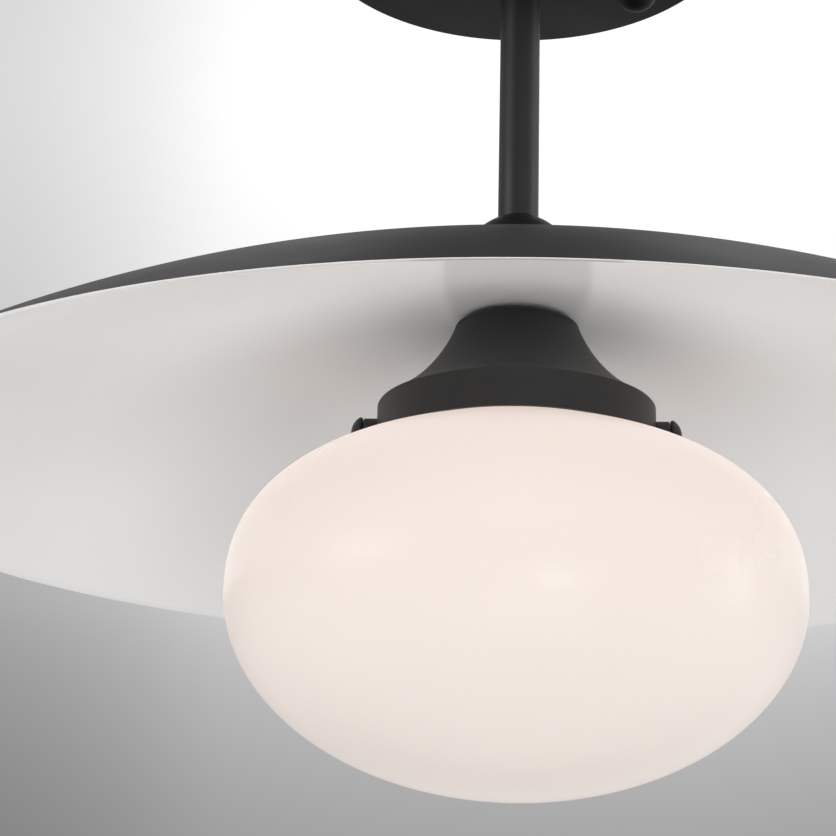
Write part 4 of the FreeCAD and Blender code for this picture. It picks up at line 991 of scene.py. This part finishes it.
def rolled(foot, top, out, depth, wall, plain):
    """Rings of a thin tube with a soft rolled thread; plain is its smooth length at the top."""
    rings_per_turn = 14
    count = int((top - foot) / ROLL * rings_per_turn)
    outer, inner = [], []
    for row in range(count + 1):
        up = foot + (top - foot) * row / count
        fade = max(0.0, min(1.0, (up - foot) / (0.6 * ROLL), (top - plain - up) / (0.6 * ROLL)))
        ring_out, ring_in = [], []
        for k in range(ROLL_ROUND):
            wave = 0.5 + 0.5 * math.cos(2 * math.pi * (up / ROLL - k / ROLL_ROUND))
            here = out - depth * (1 - wave) * fade
            ring_out.append((here, up))
            ring_in.append((here - wall, up))
        outer.append(ring_out)
        inner.append(ring_in)
    return outer, inner


COLLAR_OUT = 11.6 * MM
low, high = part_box("lamp_base")
outer, inner = rolled(low.z, high.z - 3.2 * MM, high.x,
                      depth=0.8 * MM, wall=0.4 * MM, plain=0.5 * MM)
shoulder = [even_ring(out, up, ROLL_ROUND) for out, up in (
    (high.x - 0.3 * MM, high.z - 2.6 * MM), (COLLAR_OUT, high.z),
    (COLLAR_OUT - 0.6 * MM, high.z), (high.x - 1.2 * MM, high.z - 3.4 * MM))]
base = skin_rings("lamp_base_thread", outer + shoulder + inner[::-1], nickel, caps=False)
mount(base, "lamp", "lamp_base")

# %% The socket's shell
CONTACT_HOLE, SHEET = 5.0 * MM, 0.4 * MM
low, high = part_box("socket_shell")
outer, inner = rolled(low.z, high.z - 1.0 * MM, high.x,
                      depth=0.25 * MM, wall=0.35 * MM, plain=1.0 * MM)
floor_rings = [even_ring(out, up, ROLL_ROUND) for out, up in (
    (high.x - SHEET, high.z), (CONTACT_HOLE, high.z),
    (CONTACT_HOLE, high.z - SHEET), (high.x - 2 * SHEET, high.z - SHEET))]
shell = skin_rings("socket_shell_thread", outer + floor_rings + inner[::-1], nickel, caps=False)
mount(shell, "light", "socket_shell")

# %% [markdown]
# ## The lamp's glass
# Inside the globe hangs a small round lamp of frosted glass, with a neck that flows into its ball.
# It is drawn as a ball, a hollow curve and a short tube.

# %% Lamp glass
low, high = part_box("lamp_glass")
bulb_r, neck_r, glass = high.x, 12.4 * MM, 0.8 * MM
bulb_z = low.z + bulb_r
LEAVES_BALL, NECK_UP = 50, 58.5 * MM
bulb_line = [(0, low.z)] + arc(0, bulb_z, bulb_r, -90, LEAVES_BALL, 72)[1:]
touch_out, touch_up = bulb_line[-1]
for step in range(1, 13):
    s = step / 12
    ease = s * s * (3 - 2 * s)
    bulb_line.append((touch_out + (neck_r - touch_out) * (1 - (1 - s) ** 2),
                      touch_up + (low.z + NECK_UP - touch_up) * (0.35 * s + 0.65 * ease)))
bulb_line.append((neck_r, high.z))
bulb_inner = [(max(0.0, out - glass), up + (glass if out < 1e-6 else 0)) for out, up in bulb_line]
bulb = turned("lamp_bulb", bulb_line + bulb_inner[::-1], frosted, 128)
mount(bulb, "lamp", "lamp_glass")

# %% [markdown]
# ## Pieces that stay as packed
# The crossbar, nuts, washers, porcelain and contacts already have their real shape in the packed
# model. They keep it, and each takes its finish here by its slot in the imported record.

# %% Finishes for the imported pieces
SLOT_OF = {part["node"]: part["material_slot"] for part in frame["record"]["subparts"]}
kept = []
for node, piece in frame["nodes"].items():
    if piece.hide_render:
        continue
    piece.data.materials.clear()
    piece.data.materials.append(FINISHES[SLOT_OF[node]])
    kept.append(node)
print("packed pieces kept:", ", ".join(sorted(kept)))

# %% [markdown]
# Last, the size of the dressed light is measured and printed. Nothing may stand outside the
# imported model's box.

# %% Measure the dressed light's box
low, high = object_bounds()
print("dressed", [round(v * 1000, 2) for v in high - low])
